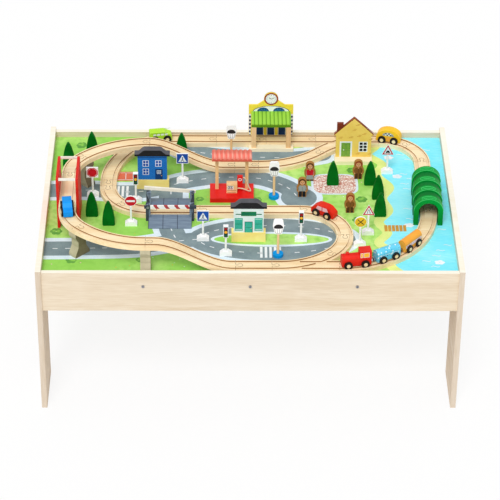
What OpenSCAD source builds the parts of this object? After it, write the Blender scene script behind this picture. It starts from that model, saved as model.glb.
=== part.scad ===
// Train table: an open play tray on two end panels, with a wooden railway that climbs over
// itself on piers, a small town of loose blocks, road signs and rolling vehicles.
// Millimetres, +Z up, origin on the ground under the middle of the table.

/* [Table] */
// Length of the table over the end panels
table_w = 1000; // [980:5:1060]
// Depth of the table over the end panels
table_d = 634; // [624:2:680]
// Height of the end panels
table_h = 403; // [380:1:460]
// Thickness of an end panel
panel_t = 13; // [12:1:18]
// Width of a leg
leg_w = 143; // [110:1:180]
// Height of the arch between the legs
arch_h = 262; // [200:1:270]
// Radius of the arch corners
arch_r = 45; // [20:1:70]
// Height of an apron
apron_h = 108; // [90:1:115]
// Thickness of an apron
apron_t = 12; // [12:1:15]
// Distance from the panel edge back to the apron face
apron_setback = 4; // [2:0.5:6]
// Distance from the panel top down to the apron top
apron_drop = 6; // [2:0.5:10]
// Depth of the tray below the apron top
tray_depth = 15.5; // [10:0.5:20]
// Thickness of the floor boards
floor_t = 5; // [3:0.5:7]
// Depth of the grooves that hold the floor boards
floor_groove = 5; // [3:0.5:6]
// Width of a cross rail
rail_w = 18; // [14:1:30]
// Height of a cross rail
rail_h = 34; // [28:1:45]
// Distance between cross rails
rail_pitch = 250; // [200:5:280]

/* [Fasteners] */
// Shank diameter of a panel bolt
bolt_d = 6; // [4:0.5:6.5]
// Head diameter of a panel bolt
bolt_head_d = 13; // [11:0.5:15]
// Head height of a panel bolt
bolt_head_h = 4; // [3:0.5:5]
// Length of a panel bolt under its head
bolt_len = 50; // [44:1:70]
// Diameter of a barrel nut
nut_d = 10; // [9:0.5:12]
// Distance from the apron end to its barrel nuts
nut_inset = 28; // [20:1:30]
// Shank diameter of a rail screw
screw_d = 4; // [3:0.5:5]
// Head diameter of a rail screw
screw_head_d = 7.5; // [6:0.5:10]
// Head height of a rail screw
screw_head_h = 2; // [1:0.5:3]
// Length of a rail screw under its head
screw_len = 42; // [30:1:60]

/* [Track] */
// Width of the track
track_w = 40; // [38:0.5:42]
// Thickness of the track
track_t = 12; // [11:0.5:14]
// Centre line radius of a large curve
large_r = 182; // [172:1:186]
// Centre line radius of the wide front curve
wide_r = 224; // [216:1:230]
// Centre line radius of a small curve
small_r = 104; // [100:1:110]
// Width of a wheel groove
groove_w = 7; // [6.5:0.1:7.5]
// Depth of a wheel groove
groove_depth = 3; // [2:0.5:4]
// Distance between the wheel grooves
gauge = 27; // [26.6:0.1:27.4]
// Diameter of the round head of a peg
peg_d = 11.5; // [9:0.5:13]
// Width of the neck of a peg
peg_neck = 6; // [4:0.5:8]
// Distance from the track end to the middle of the peg head
peg_reach = 11; // [9:0.5:13]
// Length of a switch along its straight branch
switch_len = 158; // [150:1:170]
// Straight lead of a switch before its branch leaves
switch_lead = 17; // [5:1:25]
// Length of a ramp
ramp_len = 210; // [196:1:224]
// Height of the raised line over the floor
rise = 67; // [60:1:75]
// Gap between the front line and the front apron
front_gap = 6; // [3:0.5:10]
// Gap between the back line and the back apron
back_gap = 6; // [5:0.5:10]
// Gap between the side lines and the end panels
side_gap = 34; // [28:1:40]
// Distance from the bridge line to the inner loop
loop_gap = 88; // [82:1:94]

/* [Bridge and crossing] */
// Length of the bridge sides
gate_len = 100; // [80:1:120]
// Height of the bridge sides
gate_h = 140; // [125:1:150]
// Thickness of the bridge sides
gate_t = 6.5; // [6:0.5:10]
// Height of a bridge bar
bar_h = 5; // [4:0.5:10]
// Depth of a bridge bar
bar_d = 5; // [5:0.5:12]
// Thickness of a pier along the track
pier_t = 24; // [16:1:26]
// Width of a pier at its foot
pier_foot_w = 44; // [36:1:46]
// Width of a pier at its waist
pier_waist_w = 24; // [16:1:34]
// Width of the level crossing over its posts
crossing_w = 116; // [100:1:124]
// Width of a crossing ramp
crossing_ramp_w = 104; // [96:1:110]
// Length of a crossing ramp
crossing_l = 44; // [30:1:50]
// Side of a barrier post
post_w = 11; // [9:0.5:13]
// Height of a barrier post
post_h = 47; // [40:1:60]
// Length of a barrier arm past its pin
arm_len = 116; // [96:1:120]
// Height of a barrier arm
arm_h = 8; // [7:0.5:10]
// Thickness of a barrier arm
arm_t = 5; // [3:0.5:6]
// Diameter of a barrier pin
pin_d = 3.5; // [2.5:0.1:4]
// Angle that the rear arm is left standing at
rear_arm_angle = 5; // [0:1:10]

/* [Tunnel] */
// Length of the tunnel
tunnel_l = 148; // [120:1:160]
// Width of the tunnel
tunnel_w = 70; // [68:1:80]
// Height of the tunnel
tunnel_h = 74; // [70:1:85]
// Width of the tunnel bore
bore_w = 46.5; // [46:0.5:50]
// Height of the tunnel bore
bore_h = 63; // [62:1:66]
// Height of a tunnel rib
rib_h = 2.5; // [1:0.5:4]

/* [Buildings] */
// Width of the town houses
house_w = 71; // [60:1:76]
// Height of the town houses over their bases
house_h = 68; // [50:1:80]
// Depth of the town houses
house_d = 17; // [12:1:24]
// Height of the base blocks
base_h = 27; // [20:1:32]
// How far a base block reaches past its house
base_lip = 5; // [2:0.5:6]
// How far the house roofs overhang
roof_lip = 7.5; // [4:0.5:10]
// Height of the house roofs
roof_h = 17; // [12:1:24]
// Width of the cottage walls
cottage_w = 88; // [80:1:94]
// Height of the cottage eaves over its base
cottage_eave_h = 64; // [50:1:70]
// Height of the cottage gable
gable_h = 49; // [36:1:56]
// Depth of the cottage
cottage_d = 8; // [6:0.5:12]
// Height of the cottage base
cottage_base_h = 11; // [8:0.5:14]
// Depth of the cottage base
cottage_base_d = 34; // [26:1:40]
// Width of the station
station_w = 112; // [104:1:120]
// Height of the station wall at its shoulders
station_h = 100; // [92:1:112]
// Radius of the station clock
clock_r = 18; // [14:0.5:20]
// Height of the station canopy at its posts
canopy_h = 70; // [66:1:76]
// Depth of the station platform
platform_d = 21; // [18:1:24]
// Height of the station platform
platform_h = 9; // [6:0.5:11]
// Width of the fuel station base
fuel_w = 107; // [96:1:112]
// Depth of the fuel station base
fuel_d = 67; // [58:1:70]
// Height of the fuel station base
fuel_base_h = 12; // [8:0.5:14]
// Height of the fuel station roof over the floor
fuel_roof_h = 104; // [92:1:116]
// Depth of the fuel station roof
fuel_roof_d = 44; // [36:1:52]
// Thickness of the fuel station roof
fuel_roof_t = 7; // [5:0.5:9]

/* [Scenery] */
// Height of a tree
tree_h = 68; // [60:1:80]
// Width of a tree
tree_w = 30; // [24:1:32]
// Thickness of a tree
tree_t = 9; // [6:0.5:14]
// Height of a figure
figure_h = 54; // [48:1:64]
// Width of a figure
figure_w = 28; // [22:1:30]
// Thickness of a figure
figure_t = 9; // [6:0.5:12]
// Height of a sign over the floor
sign_h = 83; // [74:1:92]
// Size of a sign plate
plate_w = 29; // [24:0.5:31]
// Thickness of a sign plate
plate_t = 3; // [2:0.5:4]
// Width of a sign stand
stand_w = 29; // [22:0.5:30]
// Height of a sign stand
stand_h = 12; // [6:0.5:14]
// Diameter of a sign post
sign_post_d = 5; // [4:0.5:6]
// Height of a traffic light head
light_h = 31; // [24:0.5:36]
// Width of a traffic light head
light_w = 12; // [9:0.5:14]
// Height of a street lamp
lamp_h = 104; // [92:1:116]
// Diameter of a street lamp base
lamp_base_d = 25; // [18:0.5:26]
// Height of a street lamp head
lamp_head_h = 40; // [30:1:46]
// Width of a street lamp head
lamp_head_w = 26; // [20:0.5:30]

/* [Vehicles] */
// Diameter of a wheel
wheel_d = 20; // [18:0.5:21]
// Thickness of a wheel
wheel_t = 4; // [3.5:0.1:4.2]
// Diameter of an axle
axle_d = 3; // [2.5:0.1:3.5]
// Width of a vehicle body between its wheels
body_w = 22; // [20:0.1:22.2]
// Height of a vehicle body over the track
ride_h = 3; // [2:0.5:4]
// Length of the locomotive
loco_l = 70; // [64:1:74]
// Height of the locomotive cab roof over the track
loco_h = 42; // [36:1:46]
// Length of a wagon
wagon_l = 63; // [56:1:66]
// Height of a wagon over the track
wagon_h = 32; // [28:1:40]
// Length of a car
car_l = 62; // [56:1:66]
// Height of a car over the track
car_h = 28; // [26:1:36]
// Height of the taxi over the track
taxi_h = 35; // [30:1:40]
// Distance between the axles of a car
car_base = 31; // [28:1:33]
// Distance between the axles of the locomotive
loco_base = 41; // [36:1:44]
// Distance between the axles of a wagon
wagon_base = 35; // [30:1:37]
// Length of a magnet coupler
coupler_l = 5.5; // [4:0.5:5.6]
// Diameter of a magnet coupler
coupler_d = 8; // [6:0.5:9]

/* [Hidden] */
$fn = 48;

// Clearances: how far cuts run past a face, a loose fit, a running fit and a press fit
overrun = 1;
fit_gap = 0.2;
run_gap = 0.08;
press_gap = 0.02;
peg_gap = 0.4;
track_gap = 0.4;
side_clear = 0.5;
curve_a = 45;
turn_overrun = 1;

// Inside of the tray
inner_w = table_w - 2 * panel_t;
inner_d = table_d - 2 * (apron_setback + apron_t);
apron_top = table_h - apron_drop;
floor_z = apron_top - tray_depth;
apron_y = table_d / 2 - apron_setback - apron_t / 2;
nut_x = inner_w / 2 - nut_inset;
bolt_seat = bolt_head_h + side_clear;
bolt_shares = [0.25, 0.68];
rail_z = floor_z - floor_t - rail_h / 2;

// Lines of the railway
function run_of(r) = r * sin(curve_a);
function rise_of(r) = r * (1 - cos(curve_a));
front_y = -inner_d / 2 + front_gap + track_w / 2;
back_y = inner_d / 2 - back_gap - track_w / 2;
middle_y = back_y - rise_of(large_r) - rise_of(wide_r);
inner_y = front_y + rise_of(large_r) + small_r * (1 + cos(curve_a));
right_x = inner_w / 2 - side_gap - track_w / 2;
bridge_x = -right_x;
loop_x = bridge_x + loop_gap;
front_curve_x = right_x - wide_r;
front_switch_x = front_curve_x - switch_len;
back_switch_x = right_x - small_r;
ramp_foot_x = bridge_x + rise_of(small_r) + run_of(wide_r) + ramp_len;
inner_start_x = loop_x + small_r;
inner_end_x = front_switch_x + switch_lead + run_of(large_r) - run_of(small_r);

// Straight runs that close the loops
tunnel_run = back_y - small_r - front_y - wide_r;
back_run = back_switch_x - switch_len - loop_x - run_of(small_r) - rise_of(wide_r);
loop_run = back_y - rise_of(small_r) - run_of(wide_r) - small_r - inner_y;
inner_run = inner_end_x - inner_start_x;
ground_run = back_switch_x - switch_lead - run_of(large_r) - run_of(wide_r) - ramp_foot_x;
front_run = front_switch_x - ramp_foot_x;
deck_len = middle_y - front_y - 2 * (rise_of(wide_r) + run_of(small_r));
deck_y = (middle_y + front_y) / 2;
gate_shift = 4;
gate_y = deck_y + gate_shift;

// A pose is x, y, height over the floor and heading; a move is a kind of piece and its size
function turned(p, r, a) = [
    p[0] + sign(a) * r * (sin(p[3] + a) - sin(p[3])),
    p[1] - sign(a) * r * (cos(p[3] + a) - cos(p[3])),
    p[2],
    p[3] + a
];
function ahead(p, d, up) = [p[0] + d * cos(p[3]), p[1] + d * sin(p[3]), p[2] + up, p[3]];
function moved(p, m) =
    m[0] == "left" ? turned(p, m[1], curve_a) :
    m[0] == "right" ? turned(p, m[1], -curve_a) :
    m[0] == "up" ? ahead(p, m[1], rise) :
    m[0] == "down" ? ahead(p, m[1], -rise) :
    ahead(p, m[1], 0);
function laid(p, moves, i = 0) =
    i == len(moves) ? [] : concat([[p, moves[i]]], laid(moved(p, moves[i]), moves, i + 1));
function straights(length, count) = [for (i = [1 : count]) ["straight", length / count]];

outer_line = laid([front_switch_x + switch_len, front_y, 0, 0], concat(
    [["left", wide_r], ["left", wide_r]],
    straights(tunnel_run, 2),
    [["left", small_r], ["left", small_r]]
));
inner_line = laid([back_switch_x - switch_len, back_y, 0, 180], concat(
    straights(back_run, 3),
    [["left", small_r], ["left", wide_r]],
    straights(loop_run, 1),
    [["left", small_r], ["left", small_r]],
    straights(inner_run, 3),
    [["right", small_r], ["right", small_r], ["right", small_r]]
));
hill_line = laid(
    [back_switch_x - switch_lead - run_of(large_r), back_y - rise_of(large_r), 0, 180 + curve_a],
    concat(
        [["right", wide_r]],
        straights(ground_run, 1),
        [["up", ramp_len], ["left", wide_r], ["left", small_r], ["straight", deck_len]],
        [["left", small_r], ["left", wide_r], ["down", ramp_len]],
        straights(front_run, 1)
    )
);
track_plan = concat(outer_line, inner_line, hill_line);
raised_first = 3;
pier_poses = [for (i = [0, 1, 4, 5]) hill_line[raised_first + i][0]];

// Vehicle places: train and cars stand on the track where they were last left
axle_z = track_t - groove_depth + fit_gap + wheel_d / 2;
chassis_z = track_t + ride_h;
chassis_h = 9;
deck_z = chassis_z + chassis_h;
wheel_in = body_w / 2 + side_clear;
train_gap = 1.3;
arc_share = 180 / PI / wide_r;
train_spread = (coupler_l * 2 + train_gap) * arc_share;
front_bend = [front_curve_x, front_y + wide_r];
inner_bend = [inner_end_x, inner_y - small_r];
back_bend = [back_switch_x, back_y - small_r];
bridge_bend = [bridge_x + small_r, deck_y - deck_len / 2];
loop_bend = [loop_x + run_of(small_r) + rise_of(wide_r), back_y - small_r];
// A vehicle on a bend heads clockwise where way is -1, and the other way round where it is 1
function on_bend(c, r, base, a, way, up) = [
    c[0] + sqrt(r * r - base * base / 4) * cos(a),
    c[1] + sqrt(r * r - base * base / 4) * sin(a),
    up,
    a + way * 90
];
loco_turn = -80.2;
first_turn = loco_turn + train_spread + (loco_l + wagon_l) / 2 * arc_share;
second_turn = first_turn + train_spread + wagon_l * arc_share;
loco_pose = on_bend(front_bend, wide_r, loco_base, loco_turn, -1, 0);
first_wagon_pose = on_bend(front_bend, wide_r, wagon_base, first_turn, -1, 0);
second_wagon_pose = on_bend(front_bend, wide_r, wagon_base, second_turn, -1, 0);
red_car_turn = 56;
red_car_pose = on_bend(inner_bend, small_r, car_base, red_car_turn, -1, 0);
taxi_turn = 75;
taxi_pose = on_bend(back_bend, small_r, car_base, taxi_turn, -1, 0);
van_turn = 98.5;
van_pose = on_bend(loop_bend, small_r, car_base, van_turn, -1, 0);
blue_car_turn = 187;
blue_car_pose = on_bend(bridge_bend, small_r, car_base, blue_car_turn, 1, rise);

// Places on the floor, as shares of half the layout, which is laid out in track widths;
// each piece keeps its distance to its own corner of the tray
layout_shares = [12.175, 7.525];
layout_half = layout_shares * track_w;
tray_half = [inner_w / 2, inner_d / 2];
function kept(share, axis) = share * layout_half[axis] + sign(share) * (tray_half[axis] - layout_half[axis]);
function place(share) = [kept(share[0], 0), kept(share[1], 1)];
tree_shares = [
    [-0.803, 0.72], [-0.918, 0.56], [-0.343, 0.704], [-0.78, -0.18], [-0.694, -0.305],
    [0.425, 0.28], [0.614, 0.28], [0.647, 0.073], [0.649, -0.176]
];
figure_shares = [[0.31, 0.349], [0.267, 0.113], [0.556, 0.379], [0.501, -0.116]];
sign_shares = [
    [-0.7825, 0.113], [-0.583, -0.299], [-0.335, 0.322], [-0.228, -0.509],
    [0.706, 0.462], [0.581, -0.422], [0.536, -0.588]
];
sign_kinds = ["square", "round", "square", "square", "triangle", "triangle", "round"];
light_shares = [[-0.565, 0.03], [-0.117, -0.715], [0.25, -0.518]];
lamp_shares = [[-0.088, 0.651], [0.125, 0.09], [0.1355, -0.73]];
house_shares = [[-0.485, 0.244], [-0.006, -0.51]];
cottage_share = [0.538, 0.631];
fuel_share = [-0.086, 0.125];
station_share = 0.118;

// Small sizes of single pieces
canopy_t = 5;
canopy_slope = 2;
canopy_inset = 6.5;
station_post_w = 12;
fuel_post_w = 8;
pump_w = 26;
pump_d = 18;
pump_h = 24;
nozzle_w = 13;
nozzle_d = 8;
nozzle_h = 42;
hose_d = 3;
chimney_w = 16;
chimney_h = 54;
cottage_back = 5;
front_lip = 2;
eave_lip = 5;
lamp_post_d = 6;
lamp_base_h = 8;
stand_d = 16;
light_d = 10;
hub_d = 9;
hub_t = 1.2;
pin_head_t = 1.5;
crossing_edge = 2;
crossing_c = 50;
crossing_x = inner_start_x + crossing_c;
arm_z = post_h - arm_h / 2;
arm_tail = 9;
fuel_hose_route = [
    [26.25, 4.4, 48], [29, 4.4, 48], [31.5, 4.2, 46.5], [34, 3.8, 43], [36.4, 3.4, 38], [38.9, 2.4, 31],
    [41.9, 1.4, 23], [44.9, -0.1, 17], [45.9, -2.6, 14.5], [42.9, -4.6, 15], [36.9, -5.6, 18],
    [30.9, -5.6, 21], [24.9, -5.6, 23], [18.9, -5.6, 24], [13.05, -5.6, 24]
];
hose_sides = 8;

// Helpers
module block(size) translate([-size[0] / 2, -size[1] / 2, 0]) cube(size);
module at_pose(p) translate([p[0], p[1], floor_z + p[2]]) rotate(p[3]) children();
module on_floor(p) translate([p[0], p[1], floor_z]) children();
// Draws an outline upright, facing the front, with its thickness centred
module upright(t) rotate([90, 0, 0]) linear_extrude(t, center = true) children();
// Draws an outline across the line of travel, with its length centred
module across(l) rotate([90, 0, 90]) linear_extrude(l, center = true) children();
module post_round(d, h) cylinder(d = d, h = h);

// Table
module end_panel(side) {
    opening = table_d - 2 * leg_w;
    color("wheat") difference() {
        translate([side * (table_w / 2 - panel_t / 2), 0, 0]) block([panel_t, table_d, table_h]);
        translate([side * (table_w / 2 - panel_t / 2), 0, 0]) across(panel_t + 2 * overrun) {
            translate([-opening / 2, -overrun]) square([opening, arch_h - arch_r + overrun]);
            translate([-opening / 2 + arch_r, 0]) square([opening - 2 * arch_r, arch_h]);
            for (s = [-1, 1]) translate([s * (opening / 2 - arch_r), arch_h - arch_r]) circle(arch_r);
        }
        translate([side * (inner_w / 2 + floor_groove / 2 - overrun / 2), 0, floor_z - floor_t])
            block([floor_groove + overrun, inner_d + 2 * floor_groove, floor_t + fit_gap]);
        bolt_places(side) {
            cylinder(d = bolt_d + 2 * fit_gap, h = panel_t + overrun);
            translate([0, 0, -overrun]) cylinder(d = bolt_head_d + 2 * fit_gap, h = bolt_seat + overrun);
        }
    }
}
// Puts children at each bolt of one end, with +Z running inward from the panel's outer face
module bolt_places(side) {
    for (y = [-apron_y, apron_y], share = bolt_shares)
        translate([side * table_w / 2, y, apron_top - apron_h + share * apron_h])
            rotate([0, -side * 90, 0]) children();
}
module left_end_panel() end_panel(-1);
module right_end_panel() end_panel(1);

module apron(side) {
    color("wheat") difference() {
        translate([0, side * apron_y, apron_top - apron_h]) block([inner_w, apron_t, apron_h]);
        translate([0, side * (inner_d / 2 + floor_groove / 2 - overrun / 2), floor_z - floor_t])
            block([inner_w + 2 * overrun, floor_groove + overrun, floor_t + fit_gap]);
        for (end = [-1, 1]) {
            bolt_places(end) cylinder(d = bolt_d + 2 * fit_gap, h = bolt_seat + bolt_len + overrun);
            for (share = bolt_shares)
                translate([
                    end * nut_x,
                    side * (inner_d / 2 - overrun),
                    apron_top - apron_h + share * apron_h
                ]) rotate([-side * 90, 0, 0])
                        cylinder(d = nut_d + 2 * fit_gap, h = apron_t - crossing_edge + overrun);
        }
        screw_places(side) translate([0, 0, -overrun])
            cylinder(d = screw_d + 2 * fit_gap, h = apron_t + 2 * overrun);
    }
}
// Puts children at each rail screw of one apron, with +Z running inward from its outer face
module screw_places(side) {
    for (i = [-1 : 1])
        translate([i * rail_pitch, side * (apron_y + apron_t / 2), rail_z])
            rotate([side * 90, 0, 0]) children();
}
module front_apron() apron(-1);
module back_apron() apron(1);

module floor_boards() {
    reach = inner_d / 2 + floor_groove - fit_gap;
    color("limegreen") for (s = [-1, 1])
        translate([0, s * (reach + fit_gap) / 2, floor_z - floor_t])
            block([inner_w + 2 * (floor_groove - fit_gap), reach - fit_gap, floor_t]);
}

module cross_rails() {
    color("wheat") difference() {
        for (i = [-1 : 1])
            translate([i * rail_pitch, 0, rail_z - rail_h / 2]) block([rail_w, inner_d, rail_h]);
        for (s = [-1, 1]) screw_places(s) cylinder(d = screw_d + 2 * fit_gap, h = screw_len + overrun);
    }
}

module rail_screws() {
    color("silver") for (s = [-1, 1]) screw_places(s) {
        cylinder(d = screw_d, h = screw_len);
        translate([0, 0, -screw_head_h]) cylinder(d = screw_head_d, h = screw_head_h);
    }
}

module panel_bolts() {
    color("silver") for (s = [-1, 1]) bolt_places(s) translate([0, 0, bolt_seat]) {
        translate([0, 0, -bolt_head_h]) cylinder(d = bolt_head_d, h = bolt_head_h);
        cylinder(d = bolt_d, h = bolt_len);
    }
}

module barrel_nuts() {
    length = apron_t - crossing_edge - side_clear;
    color("silver") difference() {
        for (x = [-nut_x, nut_x], side = [-1, 1], share = bolt_shares)
            translate([x, side * inner_d / 2, apron_top - apron_h + share * apron_h])
                rotate([-side * 90, 0, 0]) cylinder(d = nut_d, h = length);
        for (s = [-1, 1]) bolt_places(s)
            cylinder(d = bolt_d + 2 * fit_gap, h = panel_t + nut_inset + nut_d);
    }
}

// Track pieces start at the origin, head along +X, and have a socket first and a peg last
module peg() {
    translate([-overrun, -peg_neck / 2, 0]) cube([peg_reach + overrun, peg_neck, track_t]);
    translate([peg_reach, 0, 0]) cylinder(d = peg_d, h = track_t);
}
module socket() {
    neck = peg_neck + 2 * peg_gap;
    translate([-overrun, -neck / 2, -overrun]) cube([peg_reach + overrun, neck, track_t + 2 * overrun]);
    translate([peg_reach, 0, -overrun]) cylinder(d = peg_d + 2 * peg_gap, h = track_t + 2 * overrun);
}
module straight_blank(l) translate([track_gap, -track_w / 2, 0]) cube([l - track_gap, track_w, track_t]);
module straight_grooves(l) {
    for (s = [-1, 1])
        translate([-overrun, s * gauge / 2 - groove_w / 2, track_t - groove_depth])
            cube([l + 2 * overrun, groove_w, groove_depth + overrun]);
}
module straight_piece(l) {
    difference() {
        union() {
            straight_blank(l);
            translate([l, 0, 0]) peg();
        }
        straight_grooves(l);
        socket();
    }
}
module curve_blank(r) {
    gap_a = track_gap / r * 180 / PI;
    translate([0, r, 0]) rotate(-90 + gap_a) rotate_extrude(angle = curve_a - gap_a)
        translate([r - track_w / 2, 0]) square([track_w, track_t]);
}
module curve_grooves(r) {
    translate([0, r, 0]) rotate(-90 - turn_overrun) rotate_extrude(angle = curve_a + 2 * turn_overrun)
        for (s = [-1, 1])
            translate([r + s * gauge / 2 - groove_w / 2, track_t - groove_depth])
                square([groove_w, groove_depth + overrun]);
}
module at_curve_end(r) translate([run_of(r), rise_of(r), 0]) rotate(curve_a) children();
module curve_piece(r) {
    difference() {
        union() {
            curve_blank(r);
            at_curve_end(r) peg();
        }
        curve_grooves(r);
        socket();
    }
}
module switch_piece(branch_peg) {
    difference() {
        union() {
            straight_blank(switch_len);
            translate([switch_lead, 0, 0]) curve_blank(large_r);
            translate([switch_len, 0, 0]) peg();
            if (branch_peg) translate([switch_lead, 0, 0]) at_curve_end(large_r) peg();
        }
        straight_grooves(switch_len);
        translate([switch_lead, 0, 0]) curve_grooves(large_r);
        socket();
        if (!branch_peg) translate([switch_lead, 0, 0]) at_curve_end(large_r) rotate(180) socket();
    }
}

// Ramp: an S-curve between two level ends
ramp_steps = 20;
ramp_slope_share = 0.86;
up_foot_share = 0.14;
down_foot_share = 0.04;
function ramp_t(s, foot) = min(1, max(0, (s - foot) / ramp_slope_share));
function ramp_z(s, foot) = rise * ramp_t(s, foot) * ramp_t(s, foot) * (3 - 2 * ramp_t(s, foot));
module ramp_strip(low, high, w, past, foot) {
    stretch = 1 + 2 * past / ramp_len;
    shares = [for (i = [0 : ramp_steps]) i / ramp_steps];
    upright(w) polygon(concat(
        [for (s = shares) [s * ramp_len * stretch - past, ramp_z(s, foot) + low]],
        [for (i = [ramp_steps : -1 : 0])
            [shares[i] * ramp_len * stretch - past, ramp_z(shares[i], foot) + high]]
    ));
}
module ramp_body(foot) {
    difference() {
        ramp_strip(0, track_t, track_w, 0, foot);
        for (s = [-1, 1]) translate([0, s * gauge / 2, 0])
            ramp_strip(track_t - groove_depth, track_t + overrun, groove_w, overrun, foot);
    }
}
module ramp_piece(up) {
    difference() {
        union() {
            if (up) ramp_body(up_foot_share);
            else translate([ramp_len, 0, -rise]) mirror([1, 0, 0]) ramp_body(down_foot_share);
            translate([ramp_len, 0, up ? rise : -rise]) peg();
        }
        translate([track_gap - track_w, -track_w, -overrun])
            cube([track_w, 2 * track_w, track_t + 2 * overrun]);
        socket();
    }
}

module straight_tracks() {
    color("burlywood") for (e = track_plan) if (e[1][0] == "straight") at_pose(e[0]) straight_piece(e[1][1]);
}
module curve_tracks() {
    color("burlywood") for (e = track_plan) {
        if (e[1][0] == "left") at_pose(e[0]) curve_piece(e[1][1]);
        if (e[1][0] == "right") at_pose(e[0]) mirror([0, 1, 0]) curve_piece(e[1][1]);
    }
}
module switch_tracks() {
    color("burlywood") {
        at_pose([front_switch_x, front_y, 0, 0]) switch_piece(false);
        at_pose([back_switch_x, back_y, 0, 180]) switch_piece(true);
    }
}
module ramp_tracks() {
    color("burlywood") for (e = track_plan) {
        if (e[1][0] == "up") at_pose(e[0]) ramp_piece(true);
        if (e[1][0] == "down") at_pose(e[0]) ramp_piece(false);
    }
}

// Bridge and piers
module bridge_gate() {
    on_floor([bridge_x, gate_y]) {
        color("red") for (s = [-1, 1])
            translate([s * (track_w + gate_t) / 2, 0, 0]) block([gate_t, gate_len, gate_h]);
    }
}
module bridge_bars() {
    color("white") on_floor([bridge_x, gate_y]) for (s = [-1, 1])
        translate([0, s * (gate_len - bar_d) / 2, gate_h - bar_h]) block([track_w, bar_d, bar_h]);
}
pier_shares = [[1, 0], [1, 0.1], [0, 0.38], [0, 0.62], [0.8, 0.84], [0.8, 1]];
function pier_point(p, s) = [s * (pier_waist_w + (pier_foot_w - pier_waist_w) * p[0]) / 2, p[1] * rise];
module track_piers() {
    count = len(pier_shares);
    color("darkgray") difference() {
        for (p = pier_poses) at_pose([p[0], p[1], 0, p[3]]) across(pier_t) polygon(concat(
            [for (q = pier_shares) pier_point(q, 1)],
            [for (i = [count - 1 : -1 : 0]) pier_point(pier_shares[i], -1)]
        ));
        for (e = track_plan) {
            if (e[1][0] == "up") at_pose(e[0]) ramp_space(up_foot_share);
            if (e[1][0] == "down")
                at_pose(e[0]) translate([ramp_len, 0, -rise]) mirror([1, 0, 0]) ramp_space(down_foot_share);
        }
    }
}
module ramp_space(foot) ramp_strip(0, track_t, pier_foot_w + 2 * overrun, 0, foot);

// Level crossing: ramps with posts, arms outside the posts, pins through both
module crossing_side(side) {
    edge = track_w / 2 + side_clear;
    flat_l = post_w + overrun;
    difference() {
        union() {
            translate([crossing_x, inner_y, floor_z]) across(crossing_ramp_w) polygon([
                [side * edge, 0],
                [side * (edge + crossing_l), 0],
                [side * (edge + crossing_l), crossing_edge],
                [side * (edge + flat_l), track_t], [side * edge, track_t]
            ]);
            for (s = [-1, 1])
                on_floor([crossing_x + s * (crossing_w - post_w) / 2, inner_y + side * (edge + post_w / 2)])
                    block([post_w, post_w, post_h]);
        }
        at_pin(side) translate([0, 0, -arm_t])
            cylinder(d = pin_d + 2 * press_gap, h = post_w + 2 * arm_t);
    }
}
// The pin axis of one side, with +Z running outward from the track
module at_pin(side) {
    translate([
        crossing_x + side * (crossing_w - post_w) / 2,
        inner_y + side * (track_w / 2 + side_clear),
        floor_z + arm_z
    ]) rotate([-side * 90, 0, 0]) children();
}
module crossing_ramps() color("slategray") for (side = [-1, 1]) crossing_side(side);
module barrier_pins() {
    reach = post_w + fit_gap + arm_t + fit_gap;
    color("dimgray") for (side = [-1, 1]) at_pin(side) {
        cylinder(d = pin_d, h = reach + pin_head_t);
        translate([0, 0, reach]) cylinder(d = 2 * pin_d, h = pin_head_t);
    }
}
// An arm reaches from its pin towards the other post and lies on the outer faces of the posts
module barrier_arm(side, angle) {
    at_pin(side) translate([0, 0, post_w + fit_gap]) rotate(angle) difference() {
        translate([-side * (arm_len - arm_tail) / 2, -arm_h / 2, 0])
            block_from([arm_len + arm_tail, arm_h, arm_t]);
        translate([0, 0, -overrun]) cylinder(d = pin_d + 2 * run_gap, h = arm_t + 2 * overrun);
    }
}
module block_from(size) translate([-size[0] / 2, 0, 0]) cube(size);
module front_barrier_arm() color("white") barrier_arm(-1, 0);
module rear_barrier_arm() color("white") barrier_arm(1, rear_arm_angle);

// Tunnel: ribbed arch over the right-hand line
module arch_shape(w, h) {
    translate([-w / 2, 0]) square([w, h - w / 2]);
    translate([0, h - w / 2]) circle(d = w);
}
tunnel_ribs = 4;
tunnel_shift = 1.8;
tunnel_turn = -1.6;
tunnel_share = -0.06;
rib_share = 0.55;
module tunnel() {
    pitch = tunnel_l / tunnel_ribs;
    rib_l = pitch * rib_share;
    step = (tunnel_l - rib_l) / (tunnel_ribs - 1);
    color("green") on_floor([right_x - tunnel_shift, tunnel_share * inner_d / 2])
        rotate([0, 0, tunnel_turn]) difference() {
        union() {
            upright(tunnel_l) arch_shape(tunnel_w - 2 * rib_h, tunnel_h - rib_h);
            for (i = [0 : tunnel_ribs - 1])
                translate([0, i * step + rib_l / 2 - tunnel_l / 2, 0])
                    upright(rib_l) arch_shape(tunnel_w, tunnel_h);
        }
        translate([0, 0, -overrun]) upright(tunnel_l + 2 * overrun) arch_shape(bore_w, bore_h + overrun);
    }
}

// Station: a wall behind the back line, a platform and posts before it, a canopy over it
station_t = back_gap - 2 * side_clear;
station_x = kept(station_share, 0);
platform_y = back_y - track_w / 2 - overrun - platform_d / 2;
station_wall_y = back_y + track_w / 2 + back_gap / 2;
clock_z = station_h + clock_r - overrun;
canopy_w = station_w - 2 * canopy_inset;
module station_platform() {
    color("burlywood") on_floor([station_x, platform_y]) {
        block([station_w, platform_d, platform_h]);
        for (s = [-1, 1]) translate([s * (canopy_w - station_post_w) / 2, 0, platform_h + press_gap])
            block([station_post_w, station_post_w, canopy_h - platform_h - press_gap]);
    }
}
module station_wall() {
    color("khaki") on_floor([station_x, station_wall_y]) upright(station_t) {
        translate([-station_w / 2, 0]) square([station_w, station_h]);
        polygon([
            [-2 * clock_r, station_h - overrun],
            [2 * clock_r, station_h - overrun],
            [0, clock_z + clock_r / 2]
        ]);
        translate([0, clock_z]) circle(clock_r);
    }
}
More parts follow.
